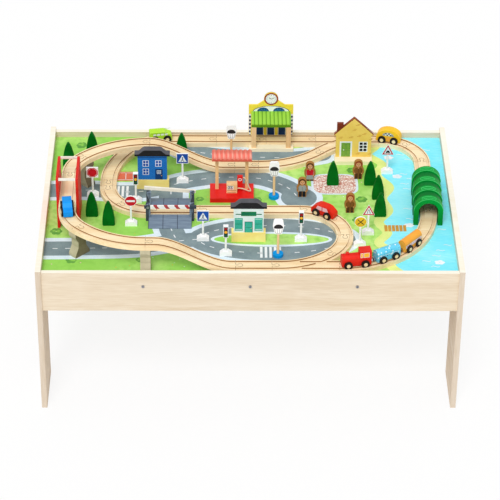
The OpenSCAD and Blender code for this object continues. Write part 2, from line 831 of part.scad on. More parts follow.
module station_canopy() {
    wall_y = station_wall_y - station_t / 2 - platform_y;
    lip_y = station_post_w / 2;
    color("yellowgreen") on_floor([station_x, platform_y]) translate([0, 0, canopy_h])
        across(canopy_w) polygon([
            [-lip_y, 0], [lip_y, 0], [lip_y, canopy_t], [wall_y, canopy_slope + canopy_t],
            [wall_y, canopy_slope + 2 * canopy_t], [-lip_y, 2 * canopy_t]
        ]);
}

// Cottage: a gabled board on a base, with a chimney on the left slope
cottage_at = place(cottage_share);
gable_w = cottage_w + 2 * eave_lip;
function gable_z(x) = cottage_eave_h + gable_h * (1 - abs(x) * 2 / gable_w);
chimney_x = -cottage_w * 0.39;
module cottage_house() {
    on_floor(cottage_at) translate([0, cottage_base_d / 2 - cottage_back - cottage_d / 2, cottage_base_h]) {
        color("khaki") upright(cottage_d) {
            translate([-cottage_w / 2, 0]) square([cottage_w, cottage_eave_h]);
            polygon([
                [-gable_w / 2, cottage_eave_h - overrun],
                [gable_w / 2, cottage_eave_h - overrun],
                [gable_w / 2, cottage_eave_h],
                [0, cottage_eave_h + gable_h],
                [-gable_w / 2, cottage_eave_h]
            ]);
        }
        color("maroon") translate([0, 0, press_gap]) upright(cottage_d) polygon([
            [chimney_x - chimney_w / 2, gable_z(chimney_x - chimney_w / 2)],
            [chimney_x + chimney_w / 2, gable_z(chimney_x + chimney_w / 2)],
            [chimney_x + chimney_w / 2, gable_z(chimney_x - chimney_w / 2) + chimney_h / 2],
            [chimney_x - chimney_w / 2, gable_z(chimney_x - chimney_w / 2) + chimney_h / 2]
        ]);
    }
}

// Town houses: a base, a block and a mansard roof
module house_bases() {
    color("gold") for (s = house_shares) on_floor(place(s))
        block([house_w + 2 * base_lip, house_d + 2 * front_lip, base_h]);
    color("burlywood") on_floor(cottage_at) block([cottage_w + base_lip, cottage_base_d, cottage_base_h]);
}
module house_block(share) {
    on_floor(place(share)) translate([0, 0, base_h]) block([house_w, house_d, house_h]);
}
module blue_house() color("steelblue") house_block(house_shares[0]);
module shop() color("honeydew") house_block(house_shares[1]);
roof_outline_shares = [[1, 0], [1, 0.3], [0.76, 0.34], [0.64, 0.62], [0.54, 0.88], [0.42, 1]];
module house_roofs() {
    half = house_w / 2 + roof_lip;
    count = len(roof_outline_shares);
    color("dimgray") for (s = house_shares) on_floor(place(s)) translate([0, 0, base_h + house_h])
        upright(house_d + front_lip) polygon(concat(
            [for (q = roof_outline_shares) [q[0] * half, q[1] * roof_h]],
            [for (i = [count - 1 : -1 : 0]) let (q = roof_outline_shares[i]) [-q[0] * half, q[1] * roof_h]]
        ));
}

// Fuel station: a base, two posts under a roof, two pumps and a hose between them
fuel_at = place(fuel_share);
pump_place_shares = [[0, -0.01], [0.184, 0.065]];
post_place_share = [0.34, 0.18];
module fuel_base() color("crimson") on_floor(fuel_at) block([fuel_w, fuel_d, fuel_base_h]);
module fuel_pumps() {
    on_floor(fuel_at) translate([0, 0, fuel_base_h]) {
        color("burlywood") {
            for (s = [-1, 1]) translate([s * post_place_share[0] * fuel_w, post_place_share[1] * fuel_d, 0])
                block([fuel_post_w, fuel_post_w, fuel_roof_h - fuel_base_h]);
            translate([pump_place_shares[0][0] * fuel_w, pump_place_shares[0][1] * fuel_d, 0])
                block([pump_w, pump_d, pump_h]);
        }
        color("crimson") translate([pump_place_shares[1][0] * fuel_w, pump_place_shares[1][1] * fuel_d, 0])
            block([nozzle_w, nozzle_d, nozzle_h]);
    }
}
roof_waves = 9;
module fuel_roof() {
    pitch = (fuel_w - 2 * base_lip) / roof_waves;
    roof_y = fuel_at[1] + post_place_share[1] * fuel_d;
    color("salmon") on_floor([fuel_at[0], roof_y]) translate([0, 0, fuel_roof_h]) upright(fuel_roof_d) {
        translate([-fuel_w / 2 + base_lip, 0]) square([fuel_w - 2 * base_lip, fuel_roof_t - pitch / 4]);
        for (i = [0 : roof_waves - 1])
            translate([(i - (roof_waves - 1) / 2) * pitch, fuel_roof_t - pitch / 2]) intersection() {
                circle(d = pitch - 2 * press_gap);
                translate([-pitch / 2, 0]) square([pitch, pitch]);
            }
    }
}

// Hose: one tube swept along its route, ring by ring
function unit(v) = v / norm(v);
function route_way(i) = let (n = len(fuel_hose_route) - 1)
    unit(fuel_hose_route[min(n, i + 1)] - fuel_hose_route[max(0, i - 1)]);
function ring(i) =
    let (w = route_way(i), u = unit(cross(w, [0, 1, 0])), v = cross(w, u))
    [for (k = [0 : hose_sides - 1]) fuel_hose_route[i] + hose_d / 2 * (
        cos(360 * k / hose_sides) * u + sin(360 * k / hose_sides) * v)];
module fuel_hose() {
    rings = len(fuel_hose_route);
    points = [for (i = [0 : rings - 1]) each ring(i)];
    sides = [for (i = [0 : rings - 2], k = [0 : hose_sides - 1])
        let (a = i * hose_sides + k, b = i * hose_sides + (k + 1) % hose_sides)
        each [[a, b, b + hose_sides], [a, b + hose_sides, a + hose_sides]]];
    first = [for (k = [1 : hose_sides - 2]) [0, k + 1, k]];
    start = (rings - 1) * hose_sides;
    last = [for (k = [1 : hose_sides - 2]) [start, start + k, start + k + 1]];
    color("beige") on_floor(fuel_at) polyhedron(points, concat(sides, first, last));
}

// Loose scenery
tree_outline_shares = [[0.42, 0], [0.5, 0.06], [0.49, 0.26], [0.41, 0.52], [0.27, 0.78], [0.1, 0.96]];
module trees() {
    count = len(tree_outline_shares);
    color("darkgreen") for (s = tree_shares) on_floor(place(s)) upright(tree_t) polygon(concat(
        [for (q = tree_outline_shares) [q[0] * tree_w, q[1] * tree_h]],
        [[0, tree_h]],
        [for (i = [count - 1 : -1 : 0]) let (q = tree_outline_shares[i]) [-q[0] * tree_w, q[1] * tree_h]]
    ));
}

module figures() {
    head_r = figure_w * 0.38;
    body_r = figure_w / 2;
    foot_w = figure_w * 0.72;
    color("peru") for (s = figure_shares) on_floor(place(s)) upright(figure_t) {
        translate([0, figure_h - head_r]) circle(head_r);
        translate([-head_r, figure_h / 2]) square([2 * head_r, figure_h / 2 - head_r]);
        translate([0, figure_h - 2 * head_r - body_r * 0.7]) circle(body_r);
        translate([-foot_w / 2, 0]) square([foot_w, figure_h / 2]);
    }
}

stand_top_share = 0.42;
module stand(share, h) {
    on_floor(place(share)) {
        upright(stand_d) polygon([
            [-stand_w / 2, 0], [stand_w / 2, 0], [stand_w / 2, stand_h / 2],
            [stand_w * stand_top_share / 2, stand_h], [-stand_w * stand_top_share / 2, stand_h],
            [-stand_w / 2, stand_h / 2]
        ]);
        cylinder(d = sign_post_d, h = h);
    }
}
module sign_stands() {
    color("white") {
        for (s = sign_shares) stand(s, sign_h - plate_w);
        for (s = light_shares) stand(s, sign_h - light_h);
    }
}
module sign_plates() {
    color("mediumblue") for (i = [0 : len(sign_shares) - 1])
        on_floor(place(sign_shares[i])) translate([0, 0, sign_h - plate_w]) upright(plate_t) {
            if (sign_kinds[i] == "square") translate([-plate_w / 2, 0]) square(plate_w);
            if (sign_kinds[i] == "round") translate([0, plate_w / 2]) circle(d = plate_w);
            if (sign_kinds[i] == "triangle") polygon([[-plate_w / 2, 0], [plate_w / 2, 0], [0, plate_w]]);
        }
}
module traffic_lights() {
    color("dimgray") for (s = light_shares) on_floor(place(s)) translate([0, 0, sign_h - light_h])
        block([light_w, light_d, light_h]);
}
lamp_head_shares = [[0.3, 0], [0.5, 0.55], [0.42, 0.92], [0.3, 1]];
module street_lamps() {
    post_h = lamp_h - lamp_head_h;
    for (s = lamp_shares) on_floor(place(s)) {
        color("royalblue") cylinder(d = lamp_base_d, h = lamp_base_h);
        color("burlywood") translate([0, 0, lamp_base_h + press_gap])
            cylinder(d = lamp_post_d, h = post_h - lamp_base_h - 2 * press_gap);
        color("white") translate([0, 0, post_h]) upright(lamp_post_d) polygon(concat(
            [for (q = lamp_head_shares) [q[0] * lamp_head_w, q[1] * lamp_head_h]],
            [for (i = [3 : -1 : 0]) let (q = lamp_head_shares[i]) [-q[0] * lamp_head_w, q[1] * lamp_head_h]]
        ));
    }
}

// Vehicles: x forward, origin on the line's middle at floor level
module axle_bores(base) {
    for (s = [-1, 1]) translate([s * base / 2, 0, axle_z]) rotate([90, 0, 0])
        cylinder(d = axle_d + 2 * run_gap, h = body_w + 2 * overrun, center = true);
}
module wheelset(base, end) {
    translate([end * base / 2, 0, axle_z]) rotate([90, 0, 0]) {
        color("burlywood") cylinder(d = axle_d, h = 2 * wheel_in + wheel_t, center = true);
        for (s = [-1, 1]) {
            color("black") translate([0, 0, s * (wheel_in + wheel_t / 2)])
                cylinder(d = wheel_d, h = wheel_t, center = true);
            color("burlywood") translate([0, 0, s * (wheel_in + wheel_t + hub_t / 2 - press_gap)])
                cylinder(d = hub_d, h = hub_t, center = true);
        }
    }
}
module coupler(end, l) {
    color("silver") translate([end * (l / 2 + press_gap), 0, chassis_z + coupler_d / 2])
        rotate([0, end * 90, 0]) cylinder(d = coupler_d, h = coupler_l - press_gap);
}

module chassis(l, base) {
    difference() {
        translate([0, 0, chassis_z]) block([l, body_w, chassis_h]);
        axle_bores(base);
    }
}
// A round-topped outline of the body's width that ends at a height over the track
module barrel_shape(top) {
    side_h = track_t + top - deck_z - press_gap - body_w / 2;
    translate([-body_w / 2, 0]) square([body_w, side_h]);
    translate([0, side_h]) intersection() {
        circle(d = body_w);
        translate([-body_w / 2, -overrun]) square([body_w, body_w]);
    }
}
cab_share = 0.4;
boiler_drop = 10;
stack_share = 0.12;
stack_h = 4;
module loco() {
    cab_l = loco_l * cab_share;
    boiler_l = loco_l - cab_l - press_gap;
    boiler_top = loco_h - boiler_drop;
    at_pose(loco_pose) {
        color("red") {
            chassis(loco_l, loco_base);
            translate([-loco_l / 2 + cab_l / 2, 0, deck_z + press_gap])
                block([cab_l, body_w, loco_h + track_t - deck_z - press_gap]);
            translate([loco_l / 2 - boiler_l / 2, 0, deck_z + press_gap])
                across(boiler_l) barrel_shape(boiler_top);
        }
        color("maroon") translate([loco_l / 2 - boiler_l / 3, 0, track_t + boiler_top + press_gap])
            cylinder(d = loco_l * stack_share, h = stack_h);
        coupler(-1, loco_l);
    }
}
module wagon(pose, paint) {
    at_pose(pose) {
        color(paint) {
            chassis(wagon_l, wagon_base);
            translate([0, 0, deck_z + press_gap]) across(wagon_l) barrel_shape(wagon_h);
        }
        for (end = [-1, 1]) coupler(end, wagon_l);
    }
}
module dotted_wagon() wagon(first_wagon_pose, "skyblue");
module orange_wagon() wagon(second_wagon_pose, "darkorange");

// Car outlines, as shares of length and height
red_car_shares = [
    [-0.5, 0], [0.5, 0], [0.5, 0.46], [0.44, 0.6], [0.28, 0.92], [0.16, 1], [-0.16, 1], [-0.28, 0.92],
    [-0.44, 0.6], [-0.5, 0.46]
];
blue_car_shares = [
    [-0.5, 0], [0.5, 0], [0.5, 0.52], [0.46, 0.58], [0.24, 0.62], [0.13, 0.96], [0.07, 1], [-0.3, 1],
    [-0.36, 0.95], [-0.45, 0.62], [-0.5, 0.56]
];
van_shares = [
    [-0.45, 0], [0.45, 0], [0.45, 0.5], [0.41, 0.62], [0.28, 0.7], [0.18, 0.9], [0.13, 0.94],
    [-0.42, 0.94], [-0.45, 0.88]
];
taxi_steps = 12;
taxi_low_share = 0.3;
taxi_shares = concat([[-0.5, 0], [0.5, 0]], [for (i = [0 : taxi_steps]) let (a = i * 180 / taxi_steps)
    [0.5 * cos(a), taxi_low_share + (1 - taxi_low_share) * sin(a)]]);
module car_body(pose, shares, top, paint) {
    tall = top - ride_h;
    color(paint) at_pose(pose) difference() {
        translate([0, 0, chassis_z]) upright(body_w) polygon([for (q = shares) [q[0] * car_l, q[1] * tall]]);
        axle_bores(car_base);
    }
}
module red_car() car_body(red_car_pose, red_car_shares, car_h, "red");
module blue_car() car_body(blue_car_pose, blue_car_shares, car_h, "dodgerblue");
module taxi() car_body(taxi_pose, taxi_shares, taxi_h, "gold");
module van() car_body(van_pose, van_shares, car_h, "yellowgreen");

front_apron();
back_apron();
left_end_panel();
right_end_panel();
floor_boards();
cross_rails();
rail_screws();
panel_bolts();
barrel_nuts();
straight_tracks();
curve_tracks();
switch_tracks();
ramp_tracks();
bridge_gate();
bridge_bars();
track_piers();
crossing_ramps();
barrier_pins();
front_barrier_arm();
rear_barrier_arm();
tunnel();
station_platform();
station_wall();
station_canopy();
cottage_house();
house_bases();
blue_house();
shop();
house_roofs();
fuel_base();
fuel_pumps();
fuel_roof();
fuel_hose();
trees();
figures();
sign_stands();
sign_plates();
traffic_lights();
street_lamps();
loco();
at_pose(loco_pose) wheelset(loco_base, 1);  // loco_front_wheels
at_pose(loco_pose) wheelset(loco_base, -1);  // loco_rear_wheels
dotted_wagon();
at_pose(first_wagon_pose) wheelset(wagon_base, 1);  // dotted_wagon_front_wheels
at_pose(first_wagon_pose) wheelset(wagon_base, -1);  // dotted_wagon_rear_wheels
orange_wagon();
at_pose(second_wagon_pose) wheelset(wagon_base, 1);  // orange_wagon_front_wheels
at_pose(second_wagon_pose) wheelset(wagon_base, -1);  // orange_wagon_rear_wheels
red_car();
at_pose(red_car_pose) wheelset(car_base, 1);  // red_car_front_wheels
at_pose(red_car_pose) wheelset(car_base, -1);  // red_car_rear_wheels
blue_car();
at_pose(blue_car_pose) wheelset(car_base, 1);  // blue_car_front_wheels
at_pose(blue_car_pose) wheelset(car_base, -1);  // blue_car_rear_wheels
taxi();
at_pose(taxi_pose) wheelset(car_base, 1);  // taxi_front_wheels
at_pose(taxi_pose) wheelset(car_base, -1);  // taxi_rear_wheels
van();
at_pose(van_pose) wheelset(car_base, 1);  // van_front_wheels
at_pose(van_pose) wheelset(car_base, -1);  // van_rear_wheels
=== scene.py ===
"""The looks of the wooden train table: finishes, prints, the pump's hose, light and camera."""
import random
from math import copysign, cos, dist, pi, radians, sin
from types import SimpleNamespace

import bpy
from mathutils import Matrix, Vector


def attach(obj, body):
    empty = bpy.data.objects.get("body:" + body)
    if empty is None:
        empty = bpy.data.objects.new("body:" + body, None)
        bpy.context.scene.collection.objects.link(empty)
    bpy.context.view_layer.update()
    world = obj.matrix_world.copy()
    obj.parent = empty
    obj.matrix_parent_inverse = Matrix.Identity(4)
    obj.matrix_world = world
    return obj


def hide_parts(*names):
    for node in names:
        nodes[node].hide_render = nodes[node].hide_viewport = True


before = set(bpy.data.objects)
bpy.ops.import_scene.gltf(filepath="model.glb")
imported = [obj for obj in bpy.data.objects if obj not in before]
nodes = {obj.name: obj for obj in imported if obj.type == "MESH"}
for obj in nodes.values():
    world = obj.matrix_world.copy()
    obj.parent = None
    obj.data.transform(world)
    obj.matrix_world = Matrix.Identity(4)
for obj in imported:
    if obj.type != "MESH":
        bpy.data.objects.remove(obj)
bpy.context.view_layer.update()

# Millimetres, as in the part's source
mm = 0.001
floor_z = 381.5
half_l = 487
half_d = 301
track_w = 40
track_h = 12
groove_z = 9.1
rise = 67
front_y = -275
back_y = 275
middle_y = 156.1
side_x = 400
crossing_x = -191
post_x = 52.5
platform_h = 9.1
house_z = 408.5
cottage_x = 150
eaves_z = 457
chimney_x = (219, 236)
chimney_foot = 244.5
red_pump_x = (-28.8, -15)
lamp_foot = 8.05
lamp_post = 63.99
plate_half = 14.5
body_half = 11
tunnel_x = 431.2
tunnel_y = -18.06
tunnel_turn = radians(-1.6)
tunnel_l = 148
tunnel_h = 74
tunnel_r = 35
tunnel_ribs = 4
rib_l = tunnel_l / tunnel_ribs * 0.55
rib_step = (tunnel_l - rib_l) / (tunnel_ribs - 1)
print_step = 0.1

# Directions
right = (1, 0, 0)
left = (-1, 0, 0)
away = (0, 1, 0)
above = (0, 0, 1)
both = (-1, 1)


# Shader sums
class Wire:
    """A value in a finish, so that a finish is written as a sum."""

    def __init__(self, finish, socket):
        self.finish = finish
        self.socket = socket

    def math(self, operation, first, second=0.0):
        return self.finish.node("ShaderNodeMath", {"operation": operation}, {0: first, 1: second})

    def __add__(self, other):
        return self.math("ADD", self, other)

    __radd__ = __add__

    def __sub__(self, other):
        return self.math("SUBTRACT", self, other)

    def __rsub__(self, other):
        return self.math("SUBTRACT", other, self)

    def __mul__(self, other):
        return self.math("MULTIPLY", self, other)

    __rmul__ = __mul__

    def __abs__(self):
        return self.math("ABSOLUTE", self)

    def saw(self):
        return self.math("FRACT", self)

    def sine(self):
        return self.math("SINE", self)

    def most(self, other):
        return self.math("MAXIMUM", self, other)

    def past(self, edge, soft):
        """0 below the edge and 1 above it, with a soft step."""
        settings = {"interpolation_type": "SMOOTHSTEP"}
        sockets = {"Value": self, "From Min": edge - soft, "From Max": edge + soft}
        return self.finish.node("ShaderNodeMapRange", settings, sockets)


class Finish:
    """One material, or the room, with its nodes."""

    def __init__(self, name, owner=None):
        self.material = owner or bpy.data.materials.new(name)
        self.material.use_nodes = True
        self.tree = self.material.node_tree
        self.skin = self.tree.nodes.get("Principled BSDF")

    def feed(self, socket, value):
        if isinstance(value, Wire):
            self.tree.links.new(value.socket, socket)
        else:
            socket.default_value = value

    def node(self, kind, settings, sockets, out=0):
        made = self.tree.nodes.new(kind)
        for key, value in settings.items():
            setattr(made, key, value)
        for key, value in sockets.items():
            self.feed(made.inputs[key], value)
        return Wire(self, made.outputs[out])

    def place(self, at=None, heading=0.0):
        """The point on the piece in metres, or in the frame of a piece that stands at a place."""
        point = self.node("ShaderNodeTexCoord", {}, {}, 3)
        if at is None:
            return point
        sockets = {"Vector": point, "Location": at, "Rotation": (0.0, 0.0, heading)}
        return self.node("ShaderNodeMapping", {"vector_type": "TEXTURE"}, sockets)

    def axis(self, point, number):
        return self.node("ShaderNodeSeparateXYZ", {}, {0: point}, number)

    def noise(self, point, stretch, detail=3.0):
        if not isinstance(stretch, tuple):
            stretch = (stretch, stretch, stretch)
        moved = self.node("ShaderNodeVectorMath", {"operation": "MULTIPLY"}, {0: point, 1: stretch})
        sockets = {"Vector": moved, "Scale": 1.0, "Detail": detail}
        return self.node("ShaderNodeTexNoise", {}, sockets)

    def cells(self, point, scale, feature="F1", loose=1.0):
        sockets = {"Vector": point, "Scale": scale, "Randomness": loose}
        return self.node("ShaderNodeTexVoronoi", {"feature": feature}, sockets)

    def blend(self, share, first, second):
        return self.node("ShaderNodeMix", {"data_type": "RGBA"}, {0: share, 6: first, 7: second}, 2)

    def close(self, colour, rough, height=None, depth=0.0, **steady):
        self.feed(self.skin.inputs["Base Color"], colour)
        self.feed(self.skin.inputs["Roughness"], rough)
        if height is not None:
            sockets = {"Strength": 0.6, "Distance": depth, "Height": height}
            self.feed(self.skin.inputs["Normal"], self.node("ShaderNodeBump", {}, sockets))
        self.skin.inputs["Specular IOR Level"].default_value = 0.18
        for key, value in steady.items():
            self.skin.inputs[key.replace("_", " ")].default_value = value
        return self.material


def tint(red, green, blue):
    """A colour from its 0 to 255 values."""
    parts = [value / 255 for value in (red, green, blue)]
    linear = [p / 12.92 if p <= 0.04045 else ((p + 0.055) / 1.055) ** 2.4 for p in parts]
    return (*linear, 1.0)


def begin(name):
    """A new finish and the point on the piece."""
    f = Finish(name)
    return f, f.place()


# Finishes, with depths of relief in metres
grain_ways = {"x": (3.0, 42.0, 42.0), "y": (42.0, 3.0, 42.0), "z": (42.0, 42.0, 3.0)}
wave_depth = 0.0012
plank_depth = 0.0005
grain_depth = 0.0003
brick_depth = 0.0002
brush_depth = 0.00012
gloss_depth = 0.0001
pebble_depth = 0.00008
grass_depth = 0.00004
ink_depth = 0.00003


def wood(name, pale, dark, way, rough=0.5):
    f, point = begin(name)
    stretch = grain_ways[way]
    figure = f.noise(point, stretch, 4.0)
    fibre = f.noise(point, tuple(7 * s for s in stretch), 2.0)
    share = (0.6 * figure + 0.4 * fibre).past(0.5, 0.22)
    colour = f.blend(share, tint(*pale), tint(*dark))
    return f.close(colour, rough + 0.16 * fibre, fibre, grain_depth)


def paint(name, full, worn, rough=0.42, sheen=0.18):
    f, point = begin(name)
    cloud = f.noise(point, 34.0)
    brush = f.noise(point, (260.0, 260.0, 700.0), 2.0)
    share = (0.75 * cloud + 0.25 * brush).past(0.5, 0.25)
    colour = f.blend(share, tint(*full), tint(*worn))
    return f.close(colour, rough + 0.14 * brush, brush, brush_depth, Specular_IOR_Level=sheen)


def plastic(name, full, worn, rough=0.35, **steady):
    f, point = begin(name)
    flow = f.noise(point, (9.0, 9.0, 22.0), 2.0)
    pebble = f.noise(point, 800.0, 2.0)
    colour = f.blend(flow.past(0.5, 0.3), tint(*full), tint(*worn))
    return f.close(colour, rough + 0.1 * pebble, pebble, pebble_depth, **steady)


def print_ink(name, full, worn):
    f, point = begin(name)
    cloud = f.noise(point, 26.0, 4.0)
    dots = f.noise(point, 420.0, 1.0)
    share = (0.7 * cloud + 0.3 * dots).past(0.5, 0.2)
    return f.close(f.blend(share, tint(*full), tint(*worn)), 0.5 + 0.1 * dots, dots, ink_depth)


birch_front = wood("birch_front", (232, 218, 196), (214, 194, 165), "x")
birch_end = wood("birch_end", (238, 224, 206), (222, 202, 176), "y")
# Darker birch for the end panels' front edges: painted shade
shaded_birch_edge = wood("shaded_birch_edge", (219, 205, 188), (204, 186, 162), "z")
# Paler birch for the top faces: painted light, as the tops take more light than the sides
lit_birch_top = wood("lit_birch_top", (252, 247, 234), (245, 236, 216), "x")
birch_rail = wood("birch_rail", (236, 216, 186), (214, 186, 148), "y")
beech = ((254, 236, 198), (238, 206, 156))
beech_x = wood("beech_x", *beech, "x", 0.46)
beech_y = wood("beech_y", *beech, "y", 0.46)
# Paler beech for the straights at the left end, the bridge deck among them: painted light against
# the shade of the gate's walls
lit_deck_beech = wood("lit_deck_beech", (255, 250, 212), (252, 236, 186), "y", 0.46)
beech_post = wood("beech_post", (248, 216, 166), (226, 180, 122), "z", 0.46)
platform_wood = wood("platform_wood", (255, 245, 218), (249, 230, 192), "x", 0.46)
stand_wood = wood("stand_wood", (250, 228, 184), (234, 198, 142), "x", 0.46)
# Darker wood for the groove walls: painted shade in the grooves
groove_shade_brown = wood("groove_shade_brown", (176, 130, 80), (142, 98, 56), "x")
figure_wood = wood("figure_wood", (186, 132, 66), (150, 98, 42), "z", 0.55)

red_gloss = paint("red_gloss", (232, 34, 28), (212, 20, 18), 0.34)
gate_red = paint("gate_red", (226, 44, 30), (206, 30, 22))
train_red = paint("train_red", (230, 44, 28), (212, 28, 18), 0.34)
bar_white = paint("bar_white", (247, 243, 232), (234, 226, 208))
stand_white = paint("stand_white", (255, 255, 255), (245, 247, 248), 0.4)
pier_grey = paint("pier_grey", (200, 192, 162), (178, 170, 140), 0.6)
pier_shade = paint("pier_shade", (132, 122, 96), (110, 100, 76), 0.6)
post_slate = paint("post_slate", (66, 76, 88), (50, 58, 70), 0.45)
bush_paint = paint("bush_paint", (0, 112, 28), (0, 86, 18), 0.55, 0.06)
sky_base = paint("sky_base", (8, 154, 228), (4, 132, 208), 0.4, 0.06)
wheel_black = paint("wheel_black", (40, 30, 26), (24, 18, 16), 0.38)
roof_black = paint("roof_black", (34, 34, 38), (22, 22, 26), 0.4)
roof_grey = paint("roof_grey", (92, 92, 98), (74, 74, 80), 0.5)
base_yellow = paint("base_yellow", (255, 238, 152), (252, 226, 124))
wall_ochre = paint("wall_ochre", (242, 212, 110), (232, 198, 92), 0.48)
wall_white = paint("wall_white", (232, 243, 240), (216, 232, 230), 0.45)
wall_yellow = paint("wall_yellow", (248, 226, 84), (238, 212, 60), 0.4)
chimney_red = paint("chimney_red", (128, 52, 28), (104, 38, 20), 0.5)
# Darker salmon for the fuel roof's front faces: painted shade under its edge
salmon_edge_shade = paint("salmon_edge_shade", (222, 104, 84), (204, 88, 70), 0.45)
roof_brown = paint("roof_brown", (176, 92, 48), (150, 70, 36), 0.45)
car_red = paint("car_red", (234, 52, 26), (212, 32, 18), 0.32, 0.1)
car_blue = paint("car_blue", (4, 158, 242), (2, 134, 226), 0.32)
car_yellow = paint("car_yellow", (254, 206, 46), (246, 186, 26), 0.32)
car_lime = paint("car_lime", (190, 236, 62), (170, 220, 46), 0.34)
wagon_orange = paint("wagon_orange", (248, 174, 66), (238, 154, 50), 0.34)

lamp_black = plastic("lamp_black", (52, 50, 52), (36, 34, 36))
# Lighter green of the tunnel's beads: painted highlight on the raised rims and loops
rim_highlight_green = plastic("rim_highlight_green", (72, 206, 112), (48, 184, 90))
hose_rubber = plastic("hose_rubber", (232, 214, 190), (206, 186, 160), 0.5)
steel = plastic("steel", (176, 176, 180), (150, 150, 156), 0.3, Metallic=1.0)

inks = dict(
    road=((138, 156, 160), (116, 134, 140)),
    kerb=((230, 243, 250), (208, 228, 242)),
    line=((246, 248, 248), (228, 234, 236)),
    shore=((234, 244, 156), (216, 234, 128)),
    bush=((112, 172, 76), (84, 150, 60)),
    leaf=((146, 204, 86), (126, 190, 72)),
    navy=((22, 66, 122), (14, 50, 100)),
    pale=((244, 248, 250), (226, 234, 240)),
    black=((36, 36, 40), (24, 24, 28)),
    red=((206, 24, 40), (186, 14, 30)),
    lens_red=((158, 28, 32), (132, 18, 24)),
    lens_green=((24, 96, 68), (14, 78, 54)),
    brown=((166, 70, 46), (142, 54, 34)),
    amber=((250, 190, 60), (238, 164, 36)),
    green=((58, 150, 70), (40, 128, 56)),
    teal=((70, 190, 164), (48, 166, 142)),
    board=((16, 120, 84), (8, 100, 70)),
    door=((134, 176, 72), (112, 158, 56)),
    blue=((28, 84, 176), (18, 66, 150)),
    glass=((44, 112, 164), (30, 90, 142)),
    sky=((74, 158, 206), (52, 136, 188)),
    grey=((166, 172, 168), (144, 152, 150)),
    brick=((212, 158, 66), (196, 138, 50)),
    yellow=((236, 200, 52), (220, 180, 34)),
    skin=((222, 168, 118), (204, 146, 96)),
    hair=((88, 52, 26), (66, 38, 18)),
    coat=((134, 86, 40), (112, 68, 28)),
    pink=((244, 196, 200), (232, 172, 178)),
    bar=((176, 34, 44), (156, 22, 34)),
    court=((232, 124, 92), (214, 104, 76)),
    lip=((96, 146, 20), (82, 130, 14)),
    joint=((122, 86, 50), (98, 66, 36)),
)
ink = SimpleNamespace(**{name: print_ink(name + "_ink", *pair) for name, pair in inks.items()})


def grass_print():
    f, point = begin("grass_print")
    field = f.noise(point, (5.0, 6.0, 1.0), 2.0)
    tuft = f.noise(point, 70.0, 4.0)
    meadow = f.blend(field.past(0.55, 0.12), tint(154, 215, 92), tint(192, 234, 130))
    colour = f.blend((0.5 * tuft).past(0.3, 0.12), meadow, tint(142, 204, 84))
    return f.close(colour, 0.48 + 0.1 * tuft, tuft, grass_depth)


def water_print():
    f, point = begin("water_print")
    swell = f.noise(point, (9.0, 16.0, 1.0), 3.0)
    ripple = f.noise(point, (60.0, 190.0, 60.0), 2.0)
    share = (0.7 * swell + 0.3 * ripple).past(0.5, 0.2)
    colour = f.blend(share, tint(118, 232, 252), tint(160, 244, 254))
    return f.close(colour, 0.4 + 0.1 * ripple, ripple, ink_depth)


def paving_print():
    f, point = begin("paving_print")
    joint = f.cells(point, 150.0, "DISTANCE_TO_EDGE").past(0.09, 0.05)
    stone = f.noise(point, 130.0, 1.0).past(0.52, 0.06)
    colour = f.blend(stone, tint(246, 238, 228), tint(232, 204, 192))
    colour = f.blend(joint, tint(196, 128, 112), colour)
    return f.close(colour, 0.55 - 0.1 * joint, joint, grass_depth)


def dotted_paint():
    f, point = begin("dotted_paint")
    spots = 1 - f.cells(point, 118.0, "F1", 0.75).past(0.27, 0.03)
    specks = 1 - f.cells(point, 160.0, "F1", 1.0).past(0.13, 0.03)
    cloud = f.noise(point, 40.0)
    base = f.blend(cloud.past(0.5, 0.3), tint(116, 214, 240), tint(92, 196, 230))
    colour = f.blend(specks, f.blend(spots, base, tint(226, 242, 248)), tint(40, 110, 168))
    return f.close(colour, 0.32 + 0.12 * cloud, cloud, gloss_depth)


def brick_paint():
    f, point = begin("brick_paint")
    flat = f.node("ShaderNodeCombineXYZ", {}, {0: f.axis(point, 0), 1: f.axis(point, 2)})
    sockets = {
        "Vector": flat, "Scale": 100.0, "Mortar Size": 0.05, "Brick Width": 0.75,
        "Row Height": 0.34, "Color1": tint(26, 108, 192), "Color2": tint(34, 120, 204),
        "Mortar": tint(16, 84, 164)}
    colour = f.node("ShaderNodeTexBrick", {}, sockets)
    joint = f.node("ShaderNodeTexBrick", {}, sockets, 1)
    cloud = f.noise(point, 50.0)
    colour = f.blend(0.5 * cloud, colour, tint(44, 134, 212))
    return f.close(colour, 0.4 + 0.1 * cloud, 1 - joint, brick_depth)


def plank_paint():
    f, point = begin("plank_paint")
    ramp_end = 243 * mm
    board_w = 104 * mm / 3
    run = f.axis(point, 0) * (1 / board_w) + ramp_end / board_w
    seam = run.saw().past(0.04, 0.02)
    fibre = f.noise(point, (30.0, 260.0, 260.0), 3.0)
    board = f.blend(fibre.past(0.5, 0.25), tint(126, 144, 162), tint(104, 120, 140))
    colour = f.blend(seam, tint(54, 62, 78), board)
    return f.close(colour, 0.5 + 0.1 * fibre, seam + 0.2 * fibre, plank_depth)


def arm_paint(name, way):
    """White with slanted red bands along the arm, and dark ends where it lies at the posts."""
    f, point = begin(name)
    along = f.axis(point, 0)
    bands = 40.0
    slant = 30.0
    run = along * (way * bands) + f.axis(point, 2) * slant
    fibre = f.noise(point, (40.0, 300.0, 300.0), 2.0)
    colour = f.blend(run.saw().past(0.64, 0.02), tint(246, 245, 242), tint(178, 34, 42))
    colour = f.blend(0.12 * fibre, colour, tint(200, 190, 180))
    inside = 47
    ends = abs(along - crossing_x * mm).past(inside * mm, 0.5 * mm)
    return f.close(f.blend(ends, colour, tint(58, 67, 79)), 0.38 + 0.1 * fibre, fibre, gloss_depth)


